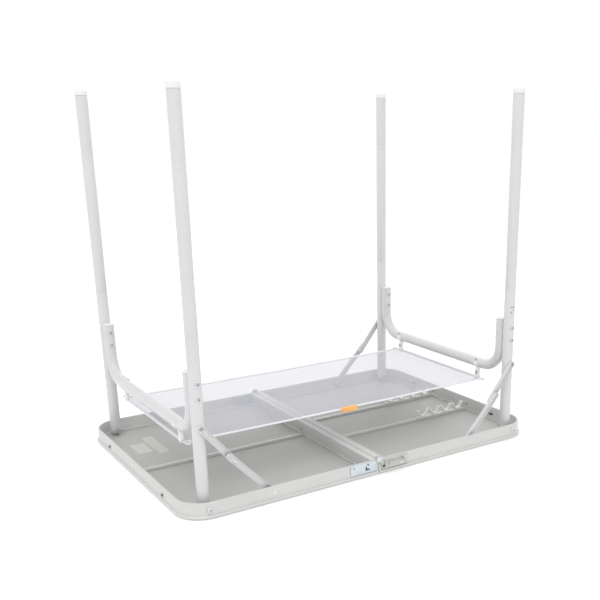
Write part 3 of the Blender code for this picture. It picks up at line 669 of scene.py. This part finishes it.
for place_word, word, far, side in CORNERS:
    corner = f"{place_word}_{word}"
    for number, height in ((1, 0.235), (2, 0.209)):
        fix_screw(f"{corner}_brace_screw_{number}_out", (side * LEG_X, far * (LEG_Y + TUBE - 0.0003), height),
                  (0, far, 0), word + "_leg_frame")
        fix_screw(f"{corner}_brace_screw_{number}_in", (side * LEG_X, far * (ARM_Y - TUBE + 0.0003), height),
                  (0, -far, 0), word + "_leg_frame")
    bolt = fix_screw(corner + "_pivot_bolt", (side * LEG_X, far * (HALF_WIDTH + 0.0003), PIVOT_Z),
                     (0, far, 0), word + "_half", washered=False, head=dome)
    fix_screw(corner + "_pivot_bolt_socket", (side * LEG_X, far * (HALF_WIDTH + 0.0026), PIVOT_Z),
              (0, far, 0), word + "_half", washered=False, scale=0.75)
    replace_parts(bolt, corner + "_leg_bolt")
    thread = filed(stood(another(shank, corner + "_pivot_thread"), (0, far, 0)), screw_steel,
                   word + "_half", "zinc")
    thread.data.transform(Matrix.Translation((side * LEG_X, far * HALF_WIDTH, PIVOT_Z)))


# ---- Folding stays -----------------------------------------------------------------------------
# Each leg is held by a pair of pressed channel links, painted like the legs: the upper one hangs
# from the leg, the lower one stands on the rim, and they are riveted where they cross.
LINK_WIDTH = 0.0120
LINK_DEEP = 0.0050


def channel(name, start, end, past, lane, open_to):
    """A pressed link in the plane y = lane: start and end are its pivots, and it is open to one side."""
    start, end = Vector((start[0], 0, start[1])), Vector((end[0], 0, end[1]))
    along = end - start
    length = along.length + past
    bpy.ops.object.select_all(action='DESELECT')
    bpy.ops.mesh.primitive_circle_add(vertices=32, radius=LINK_WIDTH / 2, fill_type='NGON')
    bpy.ops.object.mode_set(mode='EDIT')
    choose(lambda co: co.x > 0.00001)
    bpy.ops.transform.translate(value=(length, 0, 0))
    bpy.ops.mesh.select_all(action='SELECT')
    bpy.ops.mesh.extrude_region_move(TRANSFORM_OT_translate={"value": (0, 0, LINK_DEEP - 0.0005)})
    bpy.ops.mesh.inset(thickness=0.0003)
    bpy.ops.transform.translate(value=(0, 0, 0.0005))
    bpy.ops.mesh.inset(thickness=0.0008)
    bpy.ops.mesh.inset(thickness=0.0004)
    bpy.ops.transform.translate(value=(0, 0, -0.0034))
    choose(lambda co: co.z < 0.00001, 'FACE')
    bpy.ops.mesh.inset(thickness=0.0006)
    choose(lambda co: co.z < 0.00001)
    bpy.ops.mesh.select_mode(type='VERT')
    bpy.ops.mesh.select_all(action='SELECT')
    bpy.ops.mesh.normals_make_consistent(inside=False)
    bpy.ops.object.mode_set(mode='OBJECT')
    link = bpy.context.object
    tilt = Matrix.Rotation(math.atan2(along.z, along.x), 4, 'Y').inverted()
    stand = Matrix.Rotation(math.pi / 2 if open_to < 0 else -math.pi / 2, 4, 'X')
    base = lane if open_to > 0 else lane + LINK_DEEP
    link.data.transform(Matrix.Translation((start.x, base, start.z)) @ tilt @ stand)
    return link


MID = (0.2905, 0.0892)
rivet = drawn_up([(0.0010, 0.0), (0.0041, 0.0), (0.0041, 0.0004), (0.0036, 0.0011), (0.0024, 0.0016),
                  (0.0017, 0.0016), (0.0012, 0.0007), (0.0004, 0.0006)], 24)
done(rivet, "rivet_pattern", screw_steel, "left_half", "zinc")
# The faces in the rivet's hollow centre take the second finish, a near-black painted shade.
for face in rivet.data.polygons:
    face.material_index = 1 if math.hypot(face.center.x,
                                          face.center.y) < 0.0015 and face.center.z > 0.0001 else 0
for place_word, word, far, side in CORNERS:
    corner = f"{place_word}_{word}"
    upper_lane = 0.2433 if far > 0 else -0.2483
    lower_lane = 0.2486 if far > 0 else -0.2536
    upper = channel(corner + "_upper", (side * LEG_X, 0.158), (side * MID[0], MID[1]), 0.0, upper_lane, far)
    done(upper, corner + "_upper_link", leg_white, corner + "_stay_upper_link", "leg_white",
         [corner + "_stay_upper"])
    lower = channel(corner + "_lower", (side * 0.222, PIVOT_Z), (side * MID[0], MID[1]), 0.015, lower_lane,
                    far)
    done(lower, corner + "_lower_link", leg_white, corner + "_stay_lower_link", "leg_white",
         [corner + "_stay_lower"])
    fix_screw(corner + "_stay_bolt", (side * LEG_X, far * 0.2448, 0.158), (0, far, 0),
              corner + "_stay_upper_link", scale=1.05)
    fix_screw(corner + "_stay_bolt_in", (side * LEG_X, far * (LEG_Y - TUBE + 0.0003), 0.158), (0, -far, 0),
              word + "_leg_frame", scale=1.05)
    fix_screw(corner + "_middle_rivet_out", (side * MID[0], far * 0.2501, MID[1]), (0, far, 0),
              corner + "_stay_lower_link", washered=False, head=rivet)
    fix_screw(corner + "_middle_rivet_in", (side * MID[0], far * 0.2434, MID[1]), (0, -far, 0),
              corner + "_stay_upper_link", washered=False, head=rivet)
    fix_screw(corner + "_foot_rivet_in", (side * 0.222, far * 0.2488, PIVOT_Z), (0, -far, 0),
              corner + "_stay_lower_link", washered=False, head=rivet, scale=0.95)
    fix_screw(corner + "_foot_rivet_out", (side * 0.222, far * HALF_WIDTH, 0.0155), (0, far, 0),
              word + "_half", washered=False, head=rivet, scale=0.95)

# ---- Net clips and wires -----------------------------------------------------------------------
# Moulded straps hold the net's wires under the brace, each with a screw on top of the tube.
# The wire is bent back at both tips into a small triangle, which spreads the net's corners.
finish, shader, place = new_finish("clip_plastic", coat=0.2, specular=0.5)
flow = place.noise(260, 3)
paint(shader, place, flow.tint((0.80, 0.77, 0.76, 1), (0.90, 0.88, 0.87, 1)), flow * 0.12 + 0.30, flow,
      0.00004)
clip_plastic = finish
WIRE_X = 0.343
CLIP_Y = 0.143
WIRE_Z = 0.107
for place_word, word, far, side in CORNERS:
    corner = f"{place_word}_{word}"
    bpy.ops.object.select_all(action='DESELECT')
    bpy.ops.mesh.primitive_circle_add(vertices=36, radius=0.0113, location=(0, 0, 0))
    bpy.ops.object.mode_set(mode='EDIT')
    inward = -side
    choose(lambda co: co.y > 0.0015 and co.x * inward < 0.009)
    bpy.ops.mesh.delete(type='VERT')
    bpy.ops.mesh.select_all(action='SELECT')
    bpy.ops.mesh.extrude_region_move(TRANSFORM_OT_translate={"value": (0, 0, 0.0120)})
    bpy.ops.object.mode_set(mode='OBJECT')
    strap = bpy.context.object
    wall = strap.modifiers.new("wall", 'SOLIDIFY')
    wall.thickness = 0.0020
    wall.offset = 1
    wall.use_even_offset = True
    bpy.ops.object.modifier_apply(modifier="wall")
    soft = strap.modifiers.new("soft", 'BEVEL')
    soft.width = 0.0005
    soft.segments = 3
    soft.limit_method = 'ANGLE'
    bpy.ops.object.modifier_apply(modifier="soft")
    bpy.ops.object.mode_set(mode='EDIT')
    bpy.ops.mesh.select_all(action='SELECT')
    bpy.ops.mesh.normals_make_consistent(inside=False)
    bpy.ops.object.mode_set(mode='OBJECT')
    strap.data.transform(Matrix.Translation((side * LEG_X, far * CLIP_Y + 0.006, CROSS_Z))
                         @ Matrix.Rotation(math.pi / 2, 4, 'X'))
    done(strap, corner + "_clip_strap", clip_plastic, word + "_leg_frame", "clip_plastic",
         [corner + "_net_clip"])
    eye = drawn_up([(0.0019, -0.0055), (0.0036, -0.0055), (0.0041, -0.0050), (0.0041, 0.0050),
                    (0.0036, 0.0055), (0.0019, 0.0055)], 24, closed=True)
    bpy.ops.object.mode_set(mode='OBJECT')
    eye.data.transform(Matrix.Translation((side * WIRE_X, far * CLIP_Y, WIRE_Z))
                       @ Matrix.Rotation(math.pi / 2, 4, 'X'))
    done(eye, corner + "_clip_eye", clip_plastic, word + "_leg_frame", "clip_plastic")
    neck = bar((-0.0105, -0.0054, -0.0034), (0.0105, 0.0054, 0.0034), 0.0016)
    bpy.ops.object.mode_set(mode='OBJECT')
    neck_foot = Vector((side * WIRE_X, 0, WIRE_Z + 0.0035))
    neck_top = Vector((side * (LEG_X - 0.0020), 0, CROSS_Z - 0.0122))
    down = neck_foot - neck_top
    middle = (neck_foot + neck_top) / 2
    neck.data.transform(Matrix.Translation(middle + Vector((0, far * CLIP_Y, 0)))
                        @ Matrix.Rotation(-math.atan2(down.z, down.x), 4, 'Y')
                        @ Matrix.Scale((down.length + 0.003) / 0.021, 4, (1, 0, 0)))
    done(neck, corner + "_clip_neck", clip_plastic, word + "_leg_frame", "clip_plastic")
    fix_screw(corner + "_clip_screw", (side * (LEG_X - 0.0092), far * CLIP_Y, CROSS_Z + 0.0068),
              (-side, 0, 0.75),
              word + "_leg_frame", washered=False, scale=0.9)
    fix_screw(corner + "_clip_side_screw", (side * (WIRE_X - 0.0030), far * CLIP_Y, 0.1185), (-side, 0, 0),
              word + "_leg_frame", scale=0.85)

finish, shader, place = new_finish("wire_coat", metallic=0.1, coat=0.3)
dust = place.noise(800, 3)
paint(shader, place, dust.tint((0.74, 0.74, 0.75, 1), (0.88, 0.88, 0.89, 1)), dust * 0.2 + 0.25, dust,
      0.00002)
wire_coat = finish


def bent_wire(name, route, radius, roundness):
    """A wire of this radius along a route of points, as a mesh."""
    bend = bpy.data.curves.new(name, 'CURVE')
    bend.dimensions = '3D'
    bend.bevel_depth = radius
    bend.bevel_resolution = roundness
    bend.use_fill_caps = True
    run = bend.splines.new('POLY')
    run.points.add(len(route) - 1)
    for point, at in zip(run.points, route):
        point.co = (*at, 1)
    wire = bpy.data.objects.new(name, bend)
    bpy.context.collection.objects.link(wire)
    bpy.ops.object.select_all(action='DESELECT')
    bpy.context.view_layer.objects.active = wire
    wire.select_set(True)
    bpy.ops.object.convert(target='MESH')
    return bpy.context.object


for word, side in (("left", -1), ("right", 1)):
    line = [(WIRE_X, y) for y in (0.0, 0.06, 0.12, 0.1640)]
    bow = [(WIRE_X - 0.0040 + 0.0040 * math.cos(math.radians(a)), 0.1660 + 0.0040 * math.sin(math.radians(a)))
           for a in (10, 30, 50, 70, 90, 115, 140, 165)]
    tail = [(WIRE_X - 0.0080, 0.1640), (WIRE_X - 0.0060, 0.1590), (WIRE_X - 0.0024, 0.1520)]
    half = line + bow + tail
    route = [(x, -y) for x, y in reversed(half[1:])] + half
    wire = bent_wire("wire", [(side * x, y, WIRE_Z) for x, y in route], 0.0014, 3)
    done(wire, word + "_spreader", wire_coat, word + "_leg_frame", "leg_white",
         [word + "_net_wire"], angle=60)

# ---- Net shelf ---------------------------------------------------------------------------------
# A fine white polyester mesh is stretched between the two wires, with a hem sewn down both long
# edges and a tube for the wire at each end. It sags a little. An orange tab is sewn to one hem.
NET_END = 0.3415
NET_HALF = 0.160
CELL = 0.0016
HEM = 0.0080


def sagged(x, y):
    """The net's height at a place: it hangs from its two wires, and its hems are tighter."""
    along = 1 - (x / NET_END) ** 2
    across = 1 - (y / NET_HALF) ** 2
    wave = math.sin(x * 31 + 1) * math.sin(y * 23) * 0.0006
    return WIRE_Z + 0.0002 - along * (0.0018 + 0.0042 * across) + wave * along


finish, shader, place = new_finish("net_mesh", specular=0.2)
finish.surface_render_method = 'BLENDED'
shader.inputs["Sheen Weight"].default_value = 0.3
weave = place.node("ShaderNodeUVMap", {}, {})
across, down, _ = weave.axes()
thread_a = (across * (1 / CELL)).through('FRACT')
thread_b = (down * (1 / CELL)).through('FRACT')
open_cell = thread_a.between(0.24, 1.0) * thread_b.between(0.24, 1.0)
cloth = place.noise(22, 3)
knots = place.noise(1600, 2)
paint(shader, place, (cloth * 0.25 + knots * 0.5 + 0.12).tint((0.46, 0.46, 0.51, 1), (0.54, 0.54, 0.60, 1)),
      knots * 0.2 + 0.6, knots, 0.00005)
alpha = 0.92 - open_cell * (cloth * -0.06 + 0.62)
place.tree.links.new(alpha.plug, shader.inputs["Alpha"])
net_mesh = finish

finish, shader, place = new_finish("net_hem", specular=0.25)
shader.inputs["Sheen Weight"].default_value = 0.4
x_place, y_place, _ = place.axes()
ribbing = (x_place * 2600).through('SINE')
stitch = (x_place * 1570).through('SINE')
fluff = place.noise(1200, 3)
paint(shader, place, (fluff * 0.6 + ribbing * 0.12 + stitch * 0.1).tint((0.70, 0.70, 0.74, 1),
                                                                        (0.84, 0.84, 0.88, 1)),
      fluff * 0.2 + 0.62, ribbing * 0.5 + fluff * 0.5, 0.00012)
net_hem = finish


def cloth_strip(name, x_low, x_high, y_low, y_high, cells_x, cells_y, lift=0.0):
    """A flat strip of cloth laid on the net's sagging surface, its UV map in metres."""
    bpy.ops.object.select_all(action='DESELECT')
    bpy.ops.mesh.primitive_grid_add(x_subdivisions=cells_x, y_subdivisions=cells_y, size=1,
                                    location=((x_low + x_high) / 2, (y_low + y_high) / 2, 0))
    strip = bpy.context.object
    strip.scale = (x_high - x_low, y_high - y_low, 1)
    bpy.ops.object.transform_apply(location=True, scale=True)
    chart = strip.data.uv_layers[0]
    for corner_loop in strip.data.loops:
        flat = strip.data.vertices[corner_loop.vertex_index].co
        chart.data[corner_loop.index].uv = (flat.x, flat.y)
    for point in strip.data.vertices:
        point.co.z = sagged(point.co.x, point.co.y) + lift
    strip.name = name
    strip.data.name = name
    return strip


def laid(strip, finish):
    """Smooths a strip of cloth, gives it its finish and slot, and bakes its place into its mesh."""
    bpy.ops.object.select_all(action='DESELECT')
    bpy.context.view_layer.objects.active = strip
    strip.select_set(True)
    bpy.ops.object.shade_smooth()
    strip.data.materials.append(finish)
    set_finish(strip, "net_mesh")
    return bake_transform(strip)


PANELS = (("left", -NET_END, -0.11, ("left_half", "left_leg_frame"), (-0.11, 0, WIRE_Z), (-0.339, 0, WIRE_Z)),
          ("middle", -0.11, 0.11, ("left_half", "right_half"), (-0.05, 0, WIRE_Z), (0.05, 0, WIRE_Z)),
          ("right", 0.11, NET_END, ("right_half", "right_leg_frame"), (0.11, 0, WIRE_Z), (0.339, 0, WIRE_Z)))
for word, x_low, x_high, bodies, start, end in PANELS:
    panel = cloth_strip(word + "_net", x_low, x_high, -NET_HALF, NET_HALF, 56, 60)
    laid(panel, net_mesh)
    if word == "middle":
        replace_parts(panel, "net_shelf")
    for place_word, far in (("near", -1), ("far", 1)):
        edge_y = sorted((far * (NET_HALF - HEM), far * (NET_HALF + 0.0004)))
        hem = cloth_strip(f"{word}_{place_word}_hem", x_low, x_high, edge_y[0], edge_y[1], 56, 4, 0.0007)
        body = hem.modifiers.new("fold", 'SOLIDIFY')
        body.thickness = 0.0013
        body.offset = -1
        bpy.context.view_layer.objects.active = hem
        bpy.ops.object.modifier_apply(modifier="fold")
        laid(hem, net_hem)
    if word != "middle":
        side = -1 if word == "left" else 1
        sleeve = drawn_up([(0.0019, -0.136), (0.0026, -0.136), (0.0028, -0.10), (0.0026, -0.04),
                           (0.0028, 0.02),
                           (0.0026, 0.09), (0.0027, 0.136), (0.0019, 0.136)], 20, closed=True)
        bpy.ops.object.mode_set(mode='OBJECT')
        sleeve.data.transform(Matrix.Translation((side * WIRE_X, 0, WIRE_Z))
                              @ Matrix.Rotation(math.pi / 2, 4, 'X'))
        done(sleeve, word + "_net_sleeve", net_hem, word + "_leg_frame", "net_mesh", angle=60)

finish, shader, place = new_finish("tab_orange", specular=0.2)
shader.inputs["Sheen Weight"].default_value = 0.3
x_place, y_place, _ = place.axes()
twill = ((x_place + y_place) * 3300).through('SINE')
warm = place.noise(40, 2)
paint(shader, place, (warm * 0.5 + twill * 0.08 + x_place * 12 + 0.15).tint((0.90, 0.36, 0.07, 1),
                                                                            (0.98, 0.62, 0.24, 1)),
      warm * 0.2 + 0.6, twill, 0.00008)
tab = cloth_strip("orange_tab", -0.018, 0.018, -NET_HALF - 0.0095, -NET_HALF + 0.0085, 20, 14, 0.0016)
for point in tab.data.vertices:
    hang = -NET_HALF - 0.0008 - point.co.y
    if hang > 0:
        point.co.y += hang * 0.94
        point.co.z = sagged(point.co.x, -NET_HALF) + 0.0016 - hang
fold = tab.modifiers.new("fold", 'SOLIDIFY')
fold.thickness = 0.0006
bpy.context.view_layer.objects.active = tab
bpy.ops.object.modifier_apply(modifier="fold")
laid(tab, finish)

# ---- Racks for the loose legs ------------------------------------------------------------------
# Two moulded strips on the right half's ribs, each with a row of open topped clips that grip the
# pulled-off leg extensions when the table is folded away.
for rack_word, rack_y in (("near", -0.063), ("far", 0.063)):
    strip = bar((0.2406, rack_y - 0.005, 0.0086), (0.3654, rack_y + 0.005, 0.0107), 0.0006)
    done(strip, f"rack_{rack_word}_strip", clip_plastic, "right_half", "clip_plastic", [f"rack_{rack_word}"])
    for number in range(4):
        bpy.ops.object.select_all(action='DESELECT')
        bpy.ops.mesh.primitive_circle_add(vertices=44, radius=0.0113, location=(0, 0, 0))
        bpy.ops.object.mode_set(mode='EDIT')
        bpy.ops.mesh.select_all(action='SELECT')
        bpy.ops.transform.rotate(value=math.radians(360 / 88), orient_axis='Z', center_override=(0, 0, 0))
        choose(lambda co: co.y > 0.0022)
        bpy.ops.mesh.delete(type='VERT')
        bpy.ops.mesh.select_all(action='SELECT')
        bpy.ops.mesh.extrude_region_move(TRANSFORM_OT_translate={"value": (0, 0, 0.0090)})
        bpy.ops.object.mode_set(mode='OBJECT')
        clip = bpy.context.object
        wall = clip.modifiers.new("wall", 'SOLIDIFY')
        wall.thickness = 0.0026
        wall.offset = 0.3
        bpy.ops.object.modifier_apply(modifier="wall")
        soft = clip.modifiers.new("soft", 'BEVEL')
        soft.width = 0.0005
        soft.segments = 3
        soft.limit_method = 'ANGLE'
        bpy.ops.object.modifier_apply(modifier="soft")
        bpy.ops.object.mode_set(mode='EDIT')
        bpy.ops.mesh.select_all(action='SELECT')
        bpy.ops.mesh.normals_make_consistent(inside=False)
        bpy.ops.object.mode_set(mode='OBJECT')
        clip.data.transform(Matrix.Translation((0.303 + 0.033 * (number - 1.5), rack_y + 0.0045, 0.0230))
                            @ Matrix.Rotation(math.pi / 2, 4, 'X'))
        done(clip, f"rack_{rack_word}_clip_{number + 1}", clip_plastic, "right_half", "clip_plastic")
        for hand, hand_word in ((-1, "left"), (1, "right")):
            tip_x = 0.303 + 0.033 * (number - 1.5) + hand * 0.0125
            horn = bar((tip_x - 0.0022, rack_y - 0.0046, 0.0170), (tip_x + 0.0022, rack_y + 0.0046, 0.0261),
                       0.0014)
            choose(lambda co: co.z < 0.0200)
            bpy.ops.transform.resize(value=(0.45, 0.85, 1), center_override=(tip_x - hand * 0.0006, rack_y,
                                                                             0.017))
            done(horn, f"rack_{rack_word}_clip_{number + 1}_{hand_word}_lip", clip_plastic, "right_half",
                 "clip_plastic")

# ---- Seam hinges -------------------------------------------------------------------------------
# Stamped zinc leaves are riveted outside the long walls and turn on a headed pin in line with the
# rim's top. The left leaf has a bent slot for the latch, and the right one carries its spring.
left_zinc = plated("blue_zinc", (0.46, 0.55, 0.60, 1), (0.74, 0.80, 0.84, 1), 0.26)
right_zinc = plated("warm_zinc", (0.44, 0.44, 0.40, 1), (0.70, 0.69, 0.65, 1), 0.30)
for place_word, far in (("near", -1), ("far", 1)):
    for word, side, length, lane in (("left", -1, 0.056, 0), ("right", 1, 0.060, 1)):
        low_y = HALF_WIDTH + 0.0003 + lane * 0.0018
        face = low_y + 0.0015
        back = HALF_WIDTH + 0.0003 if lane else low_y
        plate = bar((min(side * 0.0072, side * (0.007 + length)), back, 0.0085),
                    (max(side * 0.0072, side * (0.007 + length)), face, 0.0285), 0.0004)
        bpy.ops.object.mode_set(mode='OBJECT')
        ear = drawn_up([(0.0027, 0.0), (0.0058, 0.0), (0.0062, 0.0003), (0.0062, 0.0012), (0.0058, 0.0015),
                        (0.0027, 0.0015)], 36, closed=True)
        bpy.ops.object.mode_set(mode='OBJECT')
        ear.data.transform(Matrix.Translation((0, low_y, RIM_HEIGHT)) @ Matrix.Rotation(-math.pi / 2, 4, 'X'))
        arm = bar((min(side * 0.0035, side * 0.0085), low_y + 0.0001, 0.0160),
                  (max(side * 0.0035, side * 0.0085), face - 0.0001, 0.0310), 0.0004)
        choose(lambda co: abs(co.x) < 0.006)
        bpy.ops.transform.resize(value=(1, 1, 0.55), center_override=(0, 0, RIM_HEIGHT))
        for member, part_word in ((plate, "plate"), (ear, "ear"), (arm, "arm")):
            if bpy.context.object.mode == 'EDIT':
                bpy.ops.object.mode_set(mode='OBJECT')
            if far < 0:
                member.data.transform(Matrix.Diagonal((1, -1, 1, 1)))
                member.data.flip_normals()
            bpy.context.view_layer.objects.active = member
            done(member, f"{place_word}_{word}_leaf_{part_word}", left_zinc if side < 0 else right_zinc,
                 word + "_half", "zinc" if side < 0 else "warm_zinc",
                 [f"{place_word}_hinge_{word}_leaf"] if part_word == "plate" else ())
        fix_screw(f"{place_word}_{word}_leaf_rivet", (side * 0.0520, far * face, 0.0135), (0, far, 0),
                  word + "_half", washered=False, head=rivet, scale=0.9)
        fix_screw(f"{place_word}_{word}_leaf_screw", (side * 0.0560, far * face, 0.0235), (0, far, 0),
                  word + "_half", washered=False, scale=0.62)
    pin = drawn_up([(0.0010, -0.0067), (0.0036, -0.0067), (0.0042, -0.0062), (0.0042, -0.0056),
                    (0.0022, -0.0055),
                    (0.0022, 0.0039), (0.0056, 0.0039), (0.0056, 0.0044), (0.0050, 0.0048), (0.0036, 0.0048),
                    (0.0032, 0.0042), (0.0022, 0.0042), (0.0017, 0.0050), (0.0008, 0.0051)], 32)
    bpy.ops.object.mode_set(mode='OBJECT')
    stood(pin, (0, far, 0))
    pin.data.transform(Matrix.Translation((0, far * HALF_WIDTH, RIM_HEIGHT)))
    done(pin, place_word + "_pin", washer_zinc, "left_half", "zinc", [place_word + "_hinge_pin"])

    for word, side, reach in (("left", -1, 0.062), ("right", 1, 0.045)):
        ends = sorted((side * 0.0175, side * reach))
        backing = bar((ends[0], 0.2545, 0.0080), (ends[1], 0.2553, 0.0262), 0.0003)
        bpy.ops.object.mode_set(mode='OBJECT')
        if far < 0:
            backing.data.transform(Matrix.Diagonal((1, -1, 1, 1)))
            backing.data.flip_normals()
        done(backing, f"{place_word}_{word}_backing_plate", left_zinc, word + "_half", "zinc")
        for number, rivet_x in ((1, 0.026), (2, reach - 0.010)):
            fix_screw(f"{place_word}_{word}_backing_rivet_{number}", (side * rivet_x, far * 0.2545, 0.016),
                      (0, -far, 0), word + "_half", washered=False, head=rivet, scale=0.8)

# The left leaf's slot is bent like an L, and the right leaf has a keyhole beside the pin: the slot, a spot
# above it and the keyhole are thin near-black sheets of painted shade.
for name, body, low, high in (
        ("slot_across", "left_half", (-0.0300, 0.0140), (-0.0215, 0.0164)),
        ("slot_up", "left_half", (-0.0300, 0.0140), (-0.0276, 0.0215)),
        ("lock_spot", "left_half", (-0.0262, 0.0232), (-0.0232, 0.0262))):
    dark = bar((low[0], -0.2614, low[1]), (high[0], -0.2610, high[1]), 0.00018)
    done(dark, "near_" + name, socket_shadow, body, "zinc")
keyhole = drawn_up([(0.0006, 0.0), (0.0026, 0.0), (0.0028, 0.0002), (0.0006, 0.0003)], 20)
bpy.ops.object.mode_set(mode='OBJECT')
stood(keyhole, (0, -1, 0))
keyhole.data.transform(Matrix.Translation((0.0105, -0.2630, 0.0145)))
done(keyhole, "near_keyhole_shade", socket_shadow, "right_half", "warm_zinc")

# ---- Rim fittings ------------------------------------------------------------------------------
# The ribs' ends are screwed through the end walls. Two bent clips a side are hooked through
# notches in the end walls and hold the board down.
for word, side, rows in (("left", -1, (0.0035,)), ("right", 1, (0.066, -0.060))):
    for number, row in enumerate(rows):
        fix_screw(f"{word}_rib_screw_out_{number + 1}", (side * HALF_LENGTH, row, 0.0150), (side, 0, 0),
                  word + "_half", washered=False, head=rivet, scale=0.8)
        fix_screw(f"{word}_rib_screw_in_{number + 1}", (side * (HALF_LENGTH - WALL), row, 0.0150),
                  (-side, 0, 0),
                  word + "_half", washered=False, scale=0.95)
    for number, row in enumerate((-0.145, 0.145)):
        for face_word, face_x, way in (("out", side * HALF_LENGTH, side),
                                       ("in", side * (HALF_LENGTH - WALL), -side)):
            # Each notch is a thin near-black sheet of painted shade on the wall's face.
            ends = sorted((face_x - way * 0.0003, face_x + way * 0.0006))
            notch_shade = bar((ends[0], row - 0.0060, 0.0108), (ends[1], row + 0.0060, 0.0168), 0.00025)
            done(notch_shade, f"{word}_notch_{face_word}_{number + 1}", socket_shadow, word + "_half", "zinc")
            ends = sorted((face_x, face_x + way * 0.0020))
            hook = bar((ends[0], row - 0.0030, 0.0150), (ends[1], row + 0.0030, 0.0182), 0.0006)
            done(hook, f"{word}_hook_{face_word}_{number + 1}", washer_zinc, word + "_half", "zinc")
fix_screw("seam_rail_screw", (-SEAM - RAIL_WIDTH, 0.011, 0.0150), (-1, 0, 0), "left_half", washered=False,
          scale=0.9)

# ---- Latch -------------------------------------------------------------------------------------
# On the near side a small slide is pushed by a coil spring to lock the halves flat. The spring lies along the
# right leaf from the slide to a bent lug, and a wire loop is the finger grip.
latch_low, latch_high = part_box("latch_slider")
slide = bar(latch_low, latch_high, 0.0006)
pushed_in(slide, lambda co: co.y < latch_low.y + 0.0001, 0.0012, -0.0006)
done(slide, "latch_slide", right_zinc, "latch", "warm_zinc", ["latch_slider"])
spring_low, spring_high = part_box("latch_spring")
spring_mid = (spring_low + spring_high) / 2
turns = 9
coil = []
for step in range(turns * 14 + 1):
    angle = step * 2 * math.pi / 14
    x = latch_high.x + 0.0006 + (spring_high.x - latch_high.x - 0.0006) * step / (turns * 14)
    coil.append((x, spring_mid.y + 0.0026 * math.cos(angle), spring_mid.z + 0.0026 * math.sin(angle)))
COIL_WIRE = 0.00055
spring = done(bent_wire("coil", coil, COIL_WIRE, 2), "latch_coil", washer_zinc, "right_half", "zinc",
              ["latch_spring"], angle=60)
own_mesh(spring)

lug_low = (spring_high.x - 0.0002, latch_low.y - 0.0040, spring_mid.z - 0.0038)
lug = bar(lug_low, (spring_high.x + 0.0012, -0.2632, spring_mid.z + 0.0038), 0.0005)
done(lug, "spring_lug", right_zinc, "right_half", "warm_zinc")
grip_line = [(0.0125, -0.2652, 0.0245), (0.0125, -0.2672, 0.0225), (0.0128, -0.2682, 0.0170),
             (0.0140, -0.2684, 0.0135), (0.0165, -0.2684, 0.0122), (0.0190, -0.2684, 0.0135),
             (0.0202, -0.2682, 0.0170), (0.0205, -0.2672, 0.0225), (0.0205, -0.2652, 0.0245)]
done(bent_wire("grip", grip_line, 0.0007, 3), "latch_grip", screw_steel, "latch", "zinc", angle=60)

for pattern in (screw, washer, dome, shank, rivet):
    bpy.data.objects.remove(pattern, do_unlink=True)
